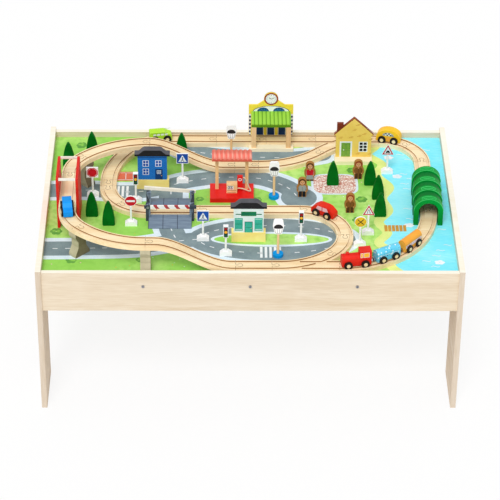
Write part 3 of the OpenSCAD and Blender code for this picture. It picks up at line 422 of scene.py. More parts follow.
def corrugated(name, crest, hollow_shade, pitch, start, edge, ridge=None):
    """Moulded waves across the piece: crests painted lighter as highlight, hollows darker as shade,
    and, given a ridge, painted shade that darkens the piece away from it.
    """
    f, point = begin(name)
    wave = ((f.axis(point, 0) - start) * (2 * pi / pitch)).sine()
    pebble = f.noise(point, 500.0, 2.0)
    # Lighter crests are a painted highlight, darker hollows painted shade
    share = wave.past(edge, 0.3 + 0.5 * (edge + 1) ** 2)
    colour = f.blend(0.15 * pebble, f.blend(share, hollow_shade, crest), hollow_shade)
    if ridge is not None:
        # Painted shade, darker away from the ridge
        slope_shade = abs(f.axis(point, 1) - ridge).past(11 * mm, 9 * mm)
        colour = f.blend(0.75 * slope_shade, colour, tint(214, 104, 82))
    return f.close(colour, 0.34 + 0.1 * pebble, wave + 0.05 * pebble, wave_depth)


def ribbed_plastic():
    f = Finish("ribbed_plastic")
    point = f.place((tunnel_x * mm, tunnel_y * mm, 0.0), tunnel_turn)
    run = (f.axis(point, 1) * (1 / mm) + tunnel_l / 2) * (1 / rib_step)
    # Painted shade in the grooves between the ribs
    hollow_shade = run.saw().past(rib_l / rib_step, 0.02)
    flow = f.noise(point, (14.0, 22.0, 14.0), 3.0)
    pebble = f.noise(point, 700.0, 2.0)
    # Painted shade, darker towards the tunnel's foot
    shade_z = 405
    low = 1 - f.axis(point, 2).past(shade_z * mm, 30 * mm)
    colour = f.blend(flow.past(0.5, 0.25), tint(0, 158, 58), tint(0, 136, 46))
    colour = f.blend(0.7 * hollow_shade, colour, tint(0, 92, 36))
    colour = f.blend(0.5 * low, colour, tint(0, 84, 26))
    return f.close(colour, 0.36 + 0.12 * pebble, pebble, gloss_depth, Specular_IOR_Level=0.07)


grass = grass_print()
water = water_print()
paving = paving_print()
dotted = dotted_paint()
bricks = brick_paint()
planks = plank_paint()
front_arm = arm_paint("front_arm", 1)
rear_arm = arm_paint("rear_arm", -1)
# Each roof's first colour is the painted highlight on its crests, the second the painted shade in
# its hollows
canopy_lime = corrugated(
    "canopy_lime", tint(160, 220, 72), tint(92, 150, 30), pitch=0.0099, start=0.0080, edge=-0.72)
roof_salmon = corrugated(
    "roof_salmon", tint(254, 176, 156), tint(244, 116, 100), pitch=0.01078, start=-0.0419,
    edge=-0.1, ridge=0.044)
tunnel_green = ribbed_plastic()


def put(name, data):
    """A new object in the scene."""
    piece = bpy.data.objects.new(name, data)
    bpy.context.collection.objects.link(piece)
    return piece


def dress(name, rest, *rules):
    """Gives each face of a CAD node the first finish whose test it meets, or else the rest.

    A test takes the face's middle, in mm, and its normal.
    """
    mesh = nodes[name].data
    mesh.materials.clear()
    for finish, test in rules:
        mesh.materials.append(finish)
    mesh.materials.append(rest)
    for face in mesh.polygons:
        middle = face.center / mm
        met = [number for number, (finish, test) in enumerate(rules) if test(middle, face.normal)]
        face.material_index = met[0] if met else len(rules)


def upward(middle, normal):
    return normal.z > 0.3


def frontward(middle, normal):
    return normal.y < -0.5


def lower_than(height):
    return lambda middle, normal: middle.z < floor_z + height


def groove_wall(middle, normal):
    return abs(normal.z) < 0.3 and groove_z < (middle.z - floor_z) % rise < track_h


def ramp_wall(middle, normal):
    aside = min(abs(middle.y - middle_y), abs(middle.y - front_y))
    return abs(normal.y) > 0.7 and aside < track_w / 2 - 1


def post(middle, normal):
    return abs(middle.x - crossing_x) > post_x


def cottage_roof(middle, normal):
    return normal.z > 0.5 and abs(normal.x) > 0.3 and middle.z > eaves_z


def chimney(middle, normal):
    return chimney_x[0] < middle.x < chimney_x[1] and middle.z - middle.x > chimney_foot


def red_pump(middle, normal):
    return red_pump_x[0] < middle.x < red_pump_x[1]


# Pieces with one finish
plain = {
    "cross_rails": birch_rail,
    "rail_screws": steel,
    "panel_bolts": steel,
    "barrel_nuts": steel,
    "barrier_pins": steel,
    "bridge_gate": gate_red,
    "bridge_bars": bar_white,
    "front_barrier_arm": front_arm,
    "tunnel": tunnel_green,
    "station_wall": wall_yellow,
    "station_canopy": canopy_lime,
    "blue_house": bricks,
    "shop": wall_white,
    "fuel_base": red_gloss,
    "trees": bush_paint,
    "figures": figure_wood,
    "sign_stands": stand_white,
    "sign_plates": stand_white,
}
for name, finish in plain.items():
    dress(name, finish)

# Table
# Tops of the aprons and end panels get a paler birch as painted light
for name in ("front_apron", "back_apron"):
    dress(name, birch_front, (lit_birch_top, upward))
# Front edges of the end panels get a darker birch as painted shade
for name in ("left_end_panel", "right_end_panel"):
    dress(name, birch_end, (lit_birch_top, upward), (shaded_birch_edge, frontward))
dress("floor_boards", birch_front, (grass, upward))

# Railway
# Groove walls get a darker wood as painted shade, and the straights at the left end a paler beech
# as painted light
dress("straight_tracks", beech_y,
      (groove_shade_brown, groove_wall),
      (beech_x, lambda middle, normal: abs(middle.x) < side_x),
      (lit_deck_beech, lambda middle, normal: middle.x < 0))
# Groove walls get painted shade on these tracks too
for name in ("curve_tracks", "switch_tracks"):
    dress(name, beech_x, (groove_shade_brown, groove_wall))
dress("ramp_tracks", beech_x, (groove_shade_brown, ramp_wall))
dress("track_piers", pier_grey, (pier_shade, lambda middle, normal: normal.x > 0.35))
dress("crossing_ramps", planks, (post_slate, post))
dress("rear_barrier_arm", bar_white, (rear_arm, lambda middle, normal: normal.y > 0.5))

# Buildings
dress("station_platform", beech_post, (platform_wood, lower_than(platform_h)))
dress("cottage_house", wall_ochre, (roof_brown, cottage_roof), (chimney_red, chimney))
dress("house_bases", base_yellow, (platform_wood, lambda middle, normal: middle.x > cottage_x))
dress("house_roofs", roof_black, (roof_grey, upward))
dress("fuel_pumps", beech_post, (red_gloss, red_pump))
# The fuel roof's front faces get painted shade
dress("fuel_roof", roof_salmon, (salmon_edge_shade, frontward))

# Scenery
dress("traffic_lights", lamp_black, (stand_white, lambda middle, normal: abs(normal.y) < 0.5))
dress("street_lamps", stand_white,
      (sky_base, lower_than(lamp_foot)), (beech_post, lower_than(lamp_post)))

# Vehicles: place, heading in degrees, height over the floor, half length and finish
vehicles = {
    "loco": (247.0, -270.8, -170.2, 0, 35, train_red),
    "dotted_wagon": (320.5, -244.5, -150.04, 0, 31.5, dotted),
    "orange_wagon": (378.1, -196.9, -130.78, 0, 31.5, wagon_orange),
    "red_car": (180.6, -63.0, -34, 0, 31, car_red),
    "taxi": (355.62, 270.33, -15, 0, 31, car_yellow),
    "van": (-221.05, 272.71, 8.5, 0, 31, car_lime),
    "blue_car": (-431.07, -148.39, 277, rise, 31, car_blue),
}


def dress_vehicle(name):
    x, y, heading, up, half, finish = vehicles[name]
    origin = Vector((x, y, floor_z + up))
    turn = Matrix.Rotation(radians(-heading), 3, "Z")

    def coupler(middle, normal):
        return abs((turn @ (middle - origin)).x) > half + 0.5

    def bare_wood(middle, normal):
        aside = abs((turn @ (middle - origin)).y)
        return aside > body_half + 4.6 or aside < body_half + 0.1

    dress(name, finish, (steel, coupler))
    for end in ("front", "rear"):
        dress(name + "_" + end + "_wheels", wheel_black, (stand_wood, bare_wood))


for name in vehicles:
    dress_vehicle(name)


# Prints
class Print:
    """Printed areas that lie on the pieces, gathered into one thin mesh."""

    def __init__(self, name, body, slot):
        self.name = name
        self.body = body
        self.slot = slot
        self.points, self.faces = [], []
        self.inks, self.numbers = [], []

    def lay_on(self, origin, along, up):
        self.origin, self.along, self.up = Vector(origin), Vector(along), Vector(up)
        self.out = self.along.cross(self.up)

    def shape(self, colour, outline, layer=1):
        turns = sum(a[0] * b[1] - b[0] * a[1] for a, b in zip(outline, outline[1:] + outline[:1]))
        if turns < 0:
            outline = outline[::-1]
        if colour not in self.inks:
            self.inks.append(colour)
        start = len(self.points)
        for x, y in outline:
            spot = self.origin + self.along * x + self.up * y + self.out * (layer * print_step)
            self.points.append(spot * mm)
        self.faces.append(list(range(start, len(self.points))))
        self.numbers.append(self.inks.index(colour))

    def box(self, colour, x, y, wide, high, layer=1):
        self.shape(colour, [(x, y), (x + wide, y), (x + wide, y + high), (x, y + high)], layer)

    def boxes(self, *rows):
        for row in rows:
            self.box(*row)

    def disc(self, colour, x, y, radius, layer=1, count=28, high=1.0):
        self.shape(colour, oval(x, y, radius, radius * high, count)[:-1], layer)

    def band(self, colour, line, wide, layer=1):
        sides = []
        for i, (x, y) in enumerate(line):
            before = line[max(i - 1, 0)]
            after = line[min(i + 1, len(line) - 1)]
            run = Vector((after[0] - before[0], after[1] - before[1])).normalized()
            step = (-run.y * wide / 2, run.x * wide / 2)
            sides.append(((x + step[0], y + step[1]), (x - step[0], y - step[1])))
        for (a, b), (c, d) in zip(sides, sides[1:]):
            self.shape(colour, [b, d, c, a], layer)

    def done(self):
        mesh = bpy.data.meshes.new(self.name)
        mesh.from_pydata(self.points, [], self.faces)
        for colour in self.inks:
            mesh.materials.append(colour)
        mesh.polygons.foreach_set("material_index", self.numbers)
        mesh.update()
        piece = put(self.name, mesh)
        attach(piece, self.body)


def smooth(points, steps=8):
    """A line through the points without corners."""
    ends = [points[0]] + points + [points[-1]]
    line = []
    for a, b, c, d in zip(ends, ends[1:], ends[2:], ends[3:]):
        for i in range(steps):
            t = i / steps
            spot = []
            for p, q, r, s in zip(a, b, c, d):
                bend = 2 * q + (r - p) * t + (2 * p - 5 * q + 4 * r - s) * t * t
                spot.append((bend + (3 * q - p - 3 * r + s) * t ** 3) / 2)
            line.append(tuple(spot))
    line.append(tuple(points[-1]))
    return line


def oval(x, y, wide, high, count=48):
    turns = [2 * pi * i / count for i in range(count + 1)]
    return [(x + wide * cos(t), y + high * sin(t)) for t in turns]


def half_oval(x, y, wide, high, count):
    return oval(x, y, wide, high, 2 * count)[:count + 1]


def dashes(art, line, layer):
    """Short marks along the middle of a street."""
    long, gap, wide = 12, 13, 2.4
    travelled = 0.0
    for a, b in zip(line, line[1:]):
        travelled += dist(a, b)
        if travelled > long + gap:
            run = Vector((b[0] - a[0], b[1] - a[1])).normalized() * long
            art.band(ink.line, [(b[0] - run.x, b[1] - run.y), b], wide, layer)
            travelled = 0.0


def lay_streets(board):
    """Streets with kerbs and marks, and a ring street round an island of grass."""
    street_w = 58
    kerb_w = 15
    island_x, island_y, island_w, island_h = 52, -152, 172, 58
    streets = [smooth(points) for points in (
        [(-487, 56), (-400, 58), (-310, 50), (-240, 58), (-150, 98), (-60, 116), (30, 110),
         (96, 70), (122, 20)],
        [(crossing_x, 70), (crossing_x, 0), (crossing_x, -90), (-176, -150)],
        [(-487, -192), (-380, -190), (-270, -184), (-190, -164), (-110, -150)],
        [(-160, 240), (-70, 218), (30, 208), (120, 206), (180, 220)],
    )]
    turning = [(122, 26, 44), (-160, 240, street_w / 2), (180, 220, street_w / 2)]
    for number, line in enumerate(streets):
        board.band(ink.kerb, line, street_w + 2 * kerb_w, 2 + 0.1 * number)
        board.band(ink.road, line, street_w, 3 + 0.1 * number)
    for number, (x, y, radius) in enumerate(turning):
        board.disc(ink.kerb, x, y, radius + kerb_w, 2.6 + 0.1 * number)
        board.disc(ink.road, x, y, radius, 3.6 + 0.1 * number)
    half = street_w / 2
    rings = [
        (ink.kerb, half + kerb_w, 2.5), (ink.road, half, 3.5),
        (ink.kerb, -27, 3.7), (grass, -35, 3.8)]
    for colour, spread, layer in rings:
        ring = oval(island_x, island_y, island_w + spread, island_h + spread)
        board.shape(colour, ring[:-1], layer)
    for line in streets + [oval(island_x, island_y, island_w, island_h)]:
        dashes(board, line, 4)


def lay_square(board):
    """A square with round sides, paved inside its kerb."""
    x, y, wide, high = 212, 86, 58, 46
    inside = 0.9
    edge = []
    for a, b in oval(0, 0, 1, 1, 60)[:-1]:
        edge.append((wide * copysign(abs(a) ** 0.5, a), high * copysign(abs(b) ** 0.5, b)))
    board.shape(ink.kerb, [(x + a, y + b) for a, b in edge], 2.9)
    board.shape(paving, [(x + a * inside, y + b * inside) for a, b in edge], 3.9)


def lay_growth(board):
    """Bushes, flowers in the grass, and waves and foam on the lake."""
    bushes = [
        (-462, -120, 9), (-452, 128, 10), (-330, 214, 8), (-90, 254, 8), (-420, -238, 9),
        (-256, -236, 8), (-96, -84, 8), (-300, 120, 8), (-60, 172, 9), (60, 172, 8), (20, 16, 8),
        (276, 20, 9), (262, -70, 9), (282, -218, 10), (240, -250, 8), (-396, -136, 8),
        (-330, -20, 9), (-120, 20, 7), (196, 252, 8), (190, -20, 8), (-420, 262, 9), (256, 150, 8)]
    foam = [(352, 208), (368, 122), (384, -92), (446, -246), (456, 92)]
    chance = random.Random(5)
    for x, y, size in bushes:
        for i in range(6):
            turn = i * pi / 3
            spread = size * chance.uniform(0.7, 1.0)
            spot = (x + spread * cos(turn), y + spread * sin(turn))
            board.disc(ink.bush, *spot, size * 0.7, 1.2 + 0.1 * i, 14)
        for i in range(3):
            spot = (x + size * chance.uniform(-0.7, 0.7), y + size * chance.uniform(-0.2, 0.8))
            board.disc(ink.leaf, *spot, size * 0.42, 1.8 + 0.1 * i, 12)
    for i in range(90):
        spot = (chance.uniform(-470, 300), chance.uniform(-290, 290))
        board.disc((ink.pale, ink.yellow, ink.pink)[i % 3], *spot, chance.uniform(1.0, 1.8), 1, 8)
    for i in range(26):
        x = chance.uniform(366, 470)
        y = -285 + 22 * i
        crest = [(x + 5 * j, y + 2.2 * sin(j * 1.6)) for j in range(5)]
        board.band(ink.line, crest, 1.8, 3)
    for x, y in foam:
        for i in range(5):
            spot = (x + 7 * cos(1.3 * i), y + 5 * sin(1.3 * i))
            board.disc(ink.pale, *spot, 5.5, 1.3 + 0.1 * i, 16, 0.8)


def play_board():
    """Grass, streets, a paved square and a lake on the table's floor."""
    board = Print("board_print", "table", "green_print")
    board.lay_on((0, 0, floor_z), right, away)
    shoreline = smooth([
        (300, 301), (322, 262), (300, 222), (334, 176), (318, 128), (346, 74), (326, 24),
        (338, -30), (312, -78), (330, -124), (308, -168), (346, -210), (330, -258), (362, -301)])
    board.shape(water, shoreline + [(half_l, -half_d), (half_l, half_d)], 1)
    board.band(ink.shore, shoreline, 24, 2)
    lay_streets(board)
    board.box(ink.court, -352, 100, 96, 40, 3.95)
    for x, y, wide, high in ((-347, 104, 86, 1.6), (-347, 134.4, 86, 1.6), (-304.8, 104, 1.6, 32)):
        board.box(ink.line, x, y, wide, high, 4.1)
    for i in range(5):
        board.box(ink.line, -345 + 11 * i, 30, 6, 46, 4)
        board.box(ink.line, 24 + 11 * i, -228, 6, 44, 4)
    lay_square(board)
    lay_growth(board)
    for i in range(6):
        board.box(ink.brick, 324 + 9 * i, -118, 7.5, 26, 4)
    board.done()


def railway():
    """The joints of the railway: x, y, height over the floor and heading."""
    turn = pi / 4
    small, large, wide = 104, 182, 224
    switch, lead, ramp = 158, 17, 210
    front_x, back_x = 51, 329
    deck_x, loop_x, inner_x = -433, -345, -241
    side_run, loop_run = 111, 26.3

    def along(radius):
        return radius * sin(turn)

    def across(radius):
        return radius * (1 - cos(turn))

    foot_x = deck_x + across(small) + along(wide) + ramp
    inner_end = front_x + lead + along(large) - along(small)
    back_run = back_x - switch - loop_x - along(small) - across(wide)
    inner_run = inner_end - inner_x
    deck = middle_y - front_y - 2 * (across(wide) + along(small))
    ground = back_x - lead - along(large) - along(wide) - foot_x
    turn_small, turn_wide = ("turn", small), ("turn", wide)
    outer = [turn_wide] * 2 + [("run", side_run)] * 2 + [turn_small] * 2
    inner = [("run", back_run / 3)] * 3 + [turn_small, turn_wide, ("run", loop_run)]
    inner += [turn_small] * 2 + [("run", inner_run / 3)] * 3 + [("turn", -small)] * 3
    hill = [("turn", -wide), ("run", ground), ("up", ramp), turn_wide, turn_small, ("run", deck)]
    hill += [turn_small, turn_wide, ("down", ramp), ("run", front_x - foot_x)]
    starts = [
        ((front_x + switch, front_y, 0, 0), outer),
        ((back_x - switch, back_y, 0, pi), inner),
        ((back_x - lead - along(large), back_y - across(large), 0, pi + turn), hill),
    ]
    for (x, y, up, heading), moves in starts:
        for kind, size in moves:
            yield x, y, up, heading
            if kind == "turn":
                after = heading + copysign(turn, size)
                x += size * (sin(after) - sin(heading))
                y -= size * (cos(after) - cos(heading))
                heading = after
            else:
                x += size * cos(heading)
                y += size * sin(heading)
                up += {"run": 0, "up": rise, "down": -rise}[kind]
        yield x, y, up, heading


def joint_lines():
    """Dark lines at the joints of the tracks, round the pegs and across the boards."""
    art = Print("track_joints", "table", "beech")
    neck = 3.2
    neck_l = 6.2
    peg_x, peg_r = 11, 5.9
    half = track_w / 2
    boards = ((-half, -17.2), (-9.8, -neck), (neck, 9.8), (17.2, half))
    arc = [radians(-148 + 296 * i / 20) for i in range(21)]
    for x, y, up, heading in railway():
        ahead = Vector((cos(heading), sin(heading), 0))
        art.lay_on((x, y, floor_z + track_h + up), ahead, Vector(above).cross(ahead))
        for near, far in boards:
            art.band(ink.joint, [(0, near), (0, far)], 0.9, 1)
        for way in both:
            art.band(ink.joint, [(0, way * neck), (neck_l, way * neck)], 0.8, 2)
        art.band(ink.joint, [(peg_x + peg_r * cos(t), peg_r * sin(t)) for t in arc], 0.8, 3)
    art.done()


def fronts(art, x, near_y, far_y, z):
    """Lays the artwork on a piece's near and far faces in turn."""
    art.lay_on((x, near_y, z), right, above)
    yield 1
    art.lay_on((x, far_y, z), left, above)
    yield -1


def window(art, x, y, wide, high, edge, pane, rows=2, bar=1.3, layer=1):
    """A window of two columns of panes in a frame."""
    columns = 2
    art.box(edge, x - wide / 2, y, wide, high, layer)
    pane_w = (wide - bar * (columns + 1)) / columns
    pane_h = (high - bar * (rows + 1)) / rows
    for i in range(columns):
        for j in range(rows):
            pane_x = x - wide / 2 + bar + i * (pane_w + bar)
            art.box(pane, pane_x, y + bar + j * (pane_h + bar), pane_w, pane_h, layer + 1)


def blue_house_print():
    art = Print("blue_house_print", "table", "blue_paint")
    for side in fronts(art, -236.2, 64.9, 81.9, house_z):
        for x, y in ((-16, 38), (15, 38), (-16, 14)):
            window(art, x, y, 15, 18, ink.pale, ink.blue)
        art.box(ink.navy, 7, 0, 18, 31)
        window(art, 16, 17, 10, 10, ink.pale, ink.navy, 2, 1.1, 2)
        art.disc(ink.amber, 22.5, 12, 1.1, 2, 12)
        art.box(ink.navy, -35.5, 63, 71, 2.2)
    art.done()


def shop_print():
    art = Print("shop_print", "table", "mint_paint")
    for side in fronts(art, -2.9, -162.0, -145.0, house_z):
        for x in (-23.5, 23.5):
            art.boxes(
                (ink.teal, x - 9.5, 5, 19, 36),
                (ink.board, x - 7.6, 23.5, 15.2, 1.2, 2),
                (ink.pale, x - 7.6, 8, 15.2, 1.4, 2),
                (ink.pale, x - 7.6, 37.2, 15.2, 0.8, 2),
            )
        art.boxes(
            (ink.pale, -11, 0, 22, 33),
            (ink.board, -9.6, 0, 19.2, 31, 2),
            (ink.teal, -8.2, 0, 16.4, 29.4, 3),
            (ink.board, -6, 14, 12, 1, 4),
        )
        art.disc(ink.amber, 6.2, 12, 1.0, 4, 12)
        art.boxes(
            (ink.board, -31, 50.5, 62, 2.6),
            (ink.board, -18, 47, 36, 12.5, 2),
            (ink.green, -16.6, 48.4, 33.2, 0.9, 3),
            (ink.green, -16.6, 57.2, 33.2, 0.9, 3),
        )
    art.done()


def cottage_print():
    art = Print("cottage_print", "table", "yellow_paint")
    brick_rows = [
        (-38, 55), (8, 60), (20, 66), (-4, 78), (6, 8), (38, 50), (36, 8), (-12, 56), (4, 92)]
    for side in fronts(art, 262.0, 193.9, 201.9, 392.5):
        for way in both:
            art.band(chimney_red, [(way * 49, 66), (0, 113)], 1.6)
        art.box(ink.pale, -34.5, 1, 31, 45)
        art.box(ink.door, -30.5, 1, 23, 41, 2)
        for x, y in ((-28, 5), (-28, 23.5), (-17.8, 5), (-17.8, 23.5)):
            art.box(ink.green, x, y, 8, 15.5, 3)
            art.box(ink.door, x + 0.7, y + 0.7, 6.6, 14.1, 4)
        art.disc(ink.pale, -24.4, 21, 1.6, 5, 14)
        window(art, 24, 15, 22, 30, ink.pale, ink.black, 3, 2.2)
        for x, y in brick_rows:
            art.box(ink.brick, x, y, 9, 1.4)
            art.box(ink.brick, x + 4, y + 3, 7, 1.2)
    art.done()


def station_print():
    art = Print("station_print", "table", "yellow_paint")
    station_x = 57.5
    clock = 117.9
    arch = 80
    pane = 80.5
    for side in fronts(art, station_x, 295.5, 300.5, floor_z):
        art.disc(ink.brown, 0, clock, 17.8, 1, 40)
        art.disc(ink.pale, 0, clock, 13.8, 2, 40)
        for i in range(12):
            turn = pi * i / 6
            reach = (10.2, 12.4) if i % 3 else (9.2, 12.6)
            tick = [(r * sin(turn), clock + r * cos(turn)) for r in reach]
            art.band(ink.black, tick, 0.9, 3)
        art.band(ink.black, [(0, clock), (-5.6, clock + 3.5)], 1.3, 4)
        art.band(ink.black, [(0, clock), (7.6, clock + 3.7)], 1.0, 4)
        art.disc(ink.brown, 0, clock, 1.3, 5, 12)
        for colour, wide, high, layer in ((ink.black, 46.5, 18, 1), (ink.pale, 44.8, 16.6, 2)):
            art.shape(colour, half_oval(0, arch, wide, high, 24), layer)
        for way in both:
            for colour, wide, high, layer in ((ink.navy, 15, 12.6, 3), (ink.glass, 12.4, 10.2, 4)):
                art.shape(colour, half_oval(way * 20, pane, wide, high, 24), layer)
            for i in (-1, 0, 1):
                bar = [(way * 20 + 3 * i, pane), (way * 20 + 8 * i, pane + 12 - 2 * abs(i))]
                art.band(ink.navy, bar, 1.9, 5)
            for j in range(6):
                art.box(ink.navy, way * 53 - 2.4, 8 + 11 * j, 4.8, 5.5)
                art.box(ink.pale, way * 53 - 2.4, 13.5 + 11 * j, 4.8, 5.5)
        for x in (-28, 0, 28):
            art.boxes(
                (ink.pale, x - 10, 6, 20, 58),
                (ink.navy, x - 8.6, 7.4, 17.2, 55.2, 2),
                (ink.sky, x - 7, 36, 6.2, 24, 3),
                (ink.sky, x + 0.8, 36, 6.2, 24, 3),
            )
    art.lay_on((station_x, 237.5, 451.5), right, above)
    art.box(ink.lip, -49.5, 0.2, 99, 7)
    art.done()


def fuel_print():
    art = Print("fuel_print", "table", "beech")
    pump_z = 393.5
    art.lay_on((-41.9, 28.0, pump_z), right, above)
    art.box(ink.pale, -11, 10.5, 15, 11)
    art.box(ink.black, -9.8, 14.4, 12.6, 6, 2)
    for i in range(3):
        art.box(ink.line, -8.6 + 4.2 * i, 15.6, 2.6, 3.6, 3)
    art.boxes(
        (ink.green, -9.8, 11.4, 5, 2, 2),
        (ink.red, -3.4, 11.4, 5, 2, 2),
        (ink.coat, -11, 1.2, 22, 0.9),
        (ink.coat, -11, 7.6, 22, 0.9),
    )
    art.lay_on((-22.2, 38.0, pump_z), right, above)
    art.disc(ink.pale, 0, 33, 4.2, 1, 20)
    art.disc(ink.red, 0, 33, 2.6, 2, 18)
    art.done()


def figure_prints():
    art = Print("figure_print", "table", "figure_print")
    figure_d = 9
    people = [
        (151.0, 100.5, ink.hair, ink.red, ink.grey),
        (130.0, 29.5, ink.hair, ink.grey, ink.black),
        (270.8, 109.6, ink.brown, ink.coat, ink.hair),
        (244.0, -39.4, ink.brown, ink.coat, ink.hair),
    ]
    for x, y, hair, top, lower in people:
        for side in fronts(art, x, y, y + figure_d, floor_z):
            art.disc(hair, 0, 43.6, 8.6, high=1.05)
            if side > 0:
                art.disc(ink.skin, 0, 42, 6.1, 2, high=1.1)
                for way in both:
                    art.disc(ink.black, way * 2.3, 43, 0.7, 3, 10, 1.2)
                    art.disc(ink.pink, way * 3.6, 40.4, 1.0, 3, 10)
                smile = [(t, 38.9 + 0.09 * t * t) for t in (-1.8, -0.9, 0, 0.9, 1.8)]
                art.band(ink.brown, smile, 0.6, 3)
            art.shape(top, [(-9, 17), (9, 17), (10.5, 27), (6.5, 34), (-6.5, 34), (-10.5, 27)])
            art.shape(ink.skin, [(-2.5, 34), (2.5, 34), (0, 30.5)], 2)
            art.band(ink.black, [(0, 18), (0, 30)], 0.6, 2)
            for way in both:
                art.band(lower, [(way * 8.2, 18.5), (way * 9.2, 29)], 0.7, 2)
                art.disc(ink.skin, way * 8.6, 17.2, 1.7, 3, 12)
            if lower is ink.grey:
                art.shape(lower, [(-9.4, 5), (9.4, 5), (7.6, 17), (-7.6, 17)], 2)
            else:
                for way in both:
                    leg = [(way * 0.5, 4), (way * 8.4, 4), (way * 8.2, 17), (way * 0.5, 17)]
                    art.shape(lower, leg, 2)
            for way in both:
                art.box(ink.black, way * 4.6 - 3.4, 1, 6.8, 3.2, 3)
    art.done()


def draw_octagon(art):
    turns = [pi / 8 + pi * i / 4 for i in range(8)]
    for colour, reach, layer in ((ink.red, 14.4, 1), (ink.pale, 12.4, 2), (ink.red, 11.8, 3)):
        corners = [(reach * cos(t), plate_half + reach * sin(t)) for t in turns]
        art.shape(colour, corners, layer)


def draw_bar(art):
    art.disc(ink.red, 0, plate_half, 13.6, 1, 36)
    art.box(ink.pale, -10, plate_half - 2.5, 20, 5, 2)


def draw_walker(art):
    art.box(ink.blue, -13.4, 1.1, 26.8, 26.8)
    art.shape(ink.pale, [(-10.5, 5), (10.5, 5), (0, 24.4)], 2)
    art.disc(ink.navy, 0.4, 17.2, 1.7, 3, 14)
    art.band(ink.navy, [(0.4, 15.4), (-0.2, 11)], 2.4, 3)
    for foot in (-3.6, 3.2):
        art.band(ink.navy, [(-0.2, 11.4), (foot, 6.2)], 1.5, 3)


def draw_triangle(art):
    art.shape(ink.red, [(-14, 0.6), (14, 0.6), (0, 28.4)])
    art.shape(ink.pale, [(-9.6, 3.4), (9.6, 3.4), (0, 22.6)], 2)


def draw_car(art):
    draw_triangle(art)
    art.box(ink.black, -5, 6, 10, 3.4, 3)
    art.box(ink.black, -3, 9, 6, 3, 3)
    for way in both:
        art.disc(ink.black, way * 3, 5.9, 1.3, 3, 12)


def draw_narrowing(art):
    draw_triangle(art)
    for way in both:
        art.band(ink.black, [(way * 3.6, 4.6), (way * 2.6, 9.4), (way * 0.9, 16.5)], 1.3, 3)


def draw_cross(art):
    art.disc(ink.yellow, 0, plate_half, 13.8, 1, 36)
    for way in both:
        art.band(ink.black, [(way * -7.2, plate_half - 7.2), (way * 7.2, plate_half + 7.2)], 2.0, 2)


def sign_prints():
    """Signs, traffic lights and street lamps."""
    art = Print("sign_print", "table", "sign_print")
    plate_z = 435.5
    plates = [
        (draw_octagon, -381.1, 32.5), (draw_bar, -283.9, -91.5), (draw_walker, -163.1, 95.4),
        (draw_walker, -111.0, -154.7), (draw_car, 343.8, 137.6), (draw_narrowing, 282.9, -128.5),
        (draw_cross, 261.0, -178.5)]
    for draw, x, y in plates:
        art.lay_on((x, y, plate_z), right, above)
        draw(art)
    for x, y in ((-275.2, 4.0), (-57.0, -220.2), (121.8, -160.9)):
        art.lay_on((x, y, 433.5), right, above)
        art.box(ink.pale, -6, 0, 12, 31)
        art.box(ink.black, -4.6, 1.2, 9.2, 28.6, 2)
        for colour, up in ((ink.lens_green, 6.2), (ink.amber, 15.5), (ink.lens_red, 24.8)):
            art.disc(colour, 0, up, 3.7, 3, 24)
    for x, y in ((-42.9, 196.0), (60.9, 27.1), (66.0, -219.7)):
        for side in fronts(art, x, y - 3, y + 3, 445.5):
            ring = oval(0, 0, 1, 1, 28)[:-1]
            art.shape(lamp_black, [(10.8 * a, 18 + (9.6 if b > 0 else 2.6) * b) for a, b in ring])
            for way in both:
                art.band(ink.grey, [(way * 9.4, 16), (way * 6.4, 3)], 1.1, 2)
                art.band(ink.grey, [(way * 3.0, 15), (way * 2.2, 3)], 0.9, 2)
            art.box(ink.grey, -6.6, 1.8, 13.2, 1.4)
    art.done()


def sides(art, name):
    """Lays the artwork on a vehicle's right and left sides in turn."""
    x, y, heading, up, half, finish = vehicles[name]
    ahead = Vector((cos(radians(heading)), sin(radians(heading)), 0))
    out = ahead.cross(Vector(above))
    for way in (1, -1):
        origin = Vector((x, y, floor_z + up)) + out * (way * body_half)
        art.lay_on(origin, ahead * way, above)
        yield way


def draw_loco(art, way):
    for x, wide in ((-22.5, 14), (-11.2, 6)):
        art.box(ink.pale, way * x - wide / 2, 36.5, wide, 13)
        art.box(ink.amber, way * x - wide / 2 + 0.8, 37.3, wide - 1.6, 11.4, 2)


def draw_dotted_wagon(art, way):
    art.box(ink.pale, -30.5, 30.4, 61, 0.8)
    for i in range(6):
        art.disc(ink.pale if i % 2 else ink.blue, -26 + 10.4 * i, 27.6, 1.5, 1, 14)


def draw_orange_wagon(art, way):
    art.box(ink.pale, -29.5, 24.6, 59, 7.4)
    for i in range(7):
        art.box(ink.pink, -27.6 + 8.2 * i, 25.8, 6, 5, 2)


def draw_red_car(art, way):
    sill, top = 27.5, 38.4
    for end in (-way, way):
        pane = [(1.2, sill), (18, sill), (12.5, top), (1.2, top)]
        art.shape(ink.pink, [(end * x, y) for x, y in pane])
    art.box(ink.bar, -0.5, 16, 1, 21)
    art.box(ink.bar, -8, 16, 16, 0.8)


def draw_taxi(art, way):
    art.shape(ink.grey, half_oval(0, 30.8, 15, 10, 12))
    for i in range(4):
        for j in range(2):
            colour = ink.black if (i + j) % 2 else ink.line
            art.box(colour, -8 + 4 * i, 32 + 3.2 * j, 4, 3.2, 2)
    art.box(wagon_orange, -5.0, 15.6, 10, 13)


def draw_van(art, way):
    for i in range(4):
        art.box(ink.line, -19.5 + 9.6 * i, 30.2, 7.2, 4.6)
    art.box(ink.door, -26, 36, 40, 0.9)


def draw_blue_car(art, way):
    pane_w = 12
    for x in (-15, -1):
        art.box(ink.sky, min(way * x, way * (x + pane_w)), 30.6, pane_w, 6.6)


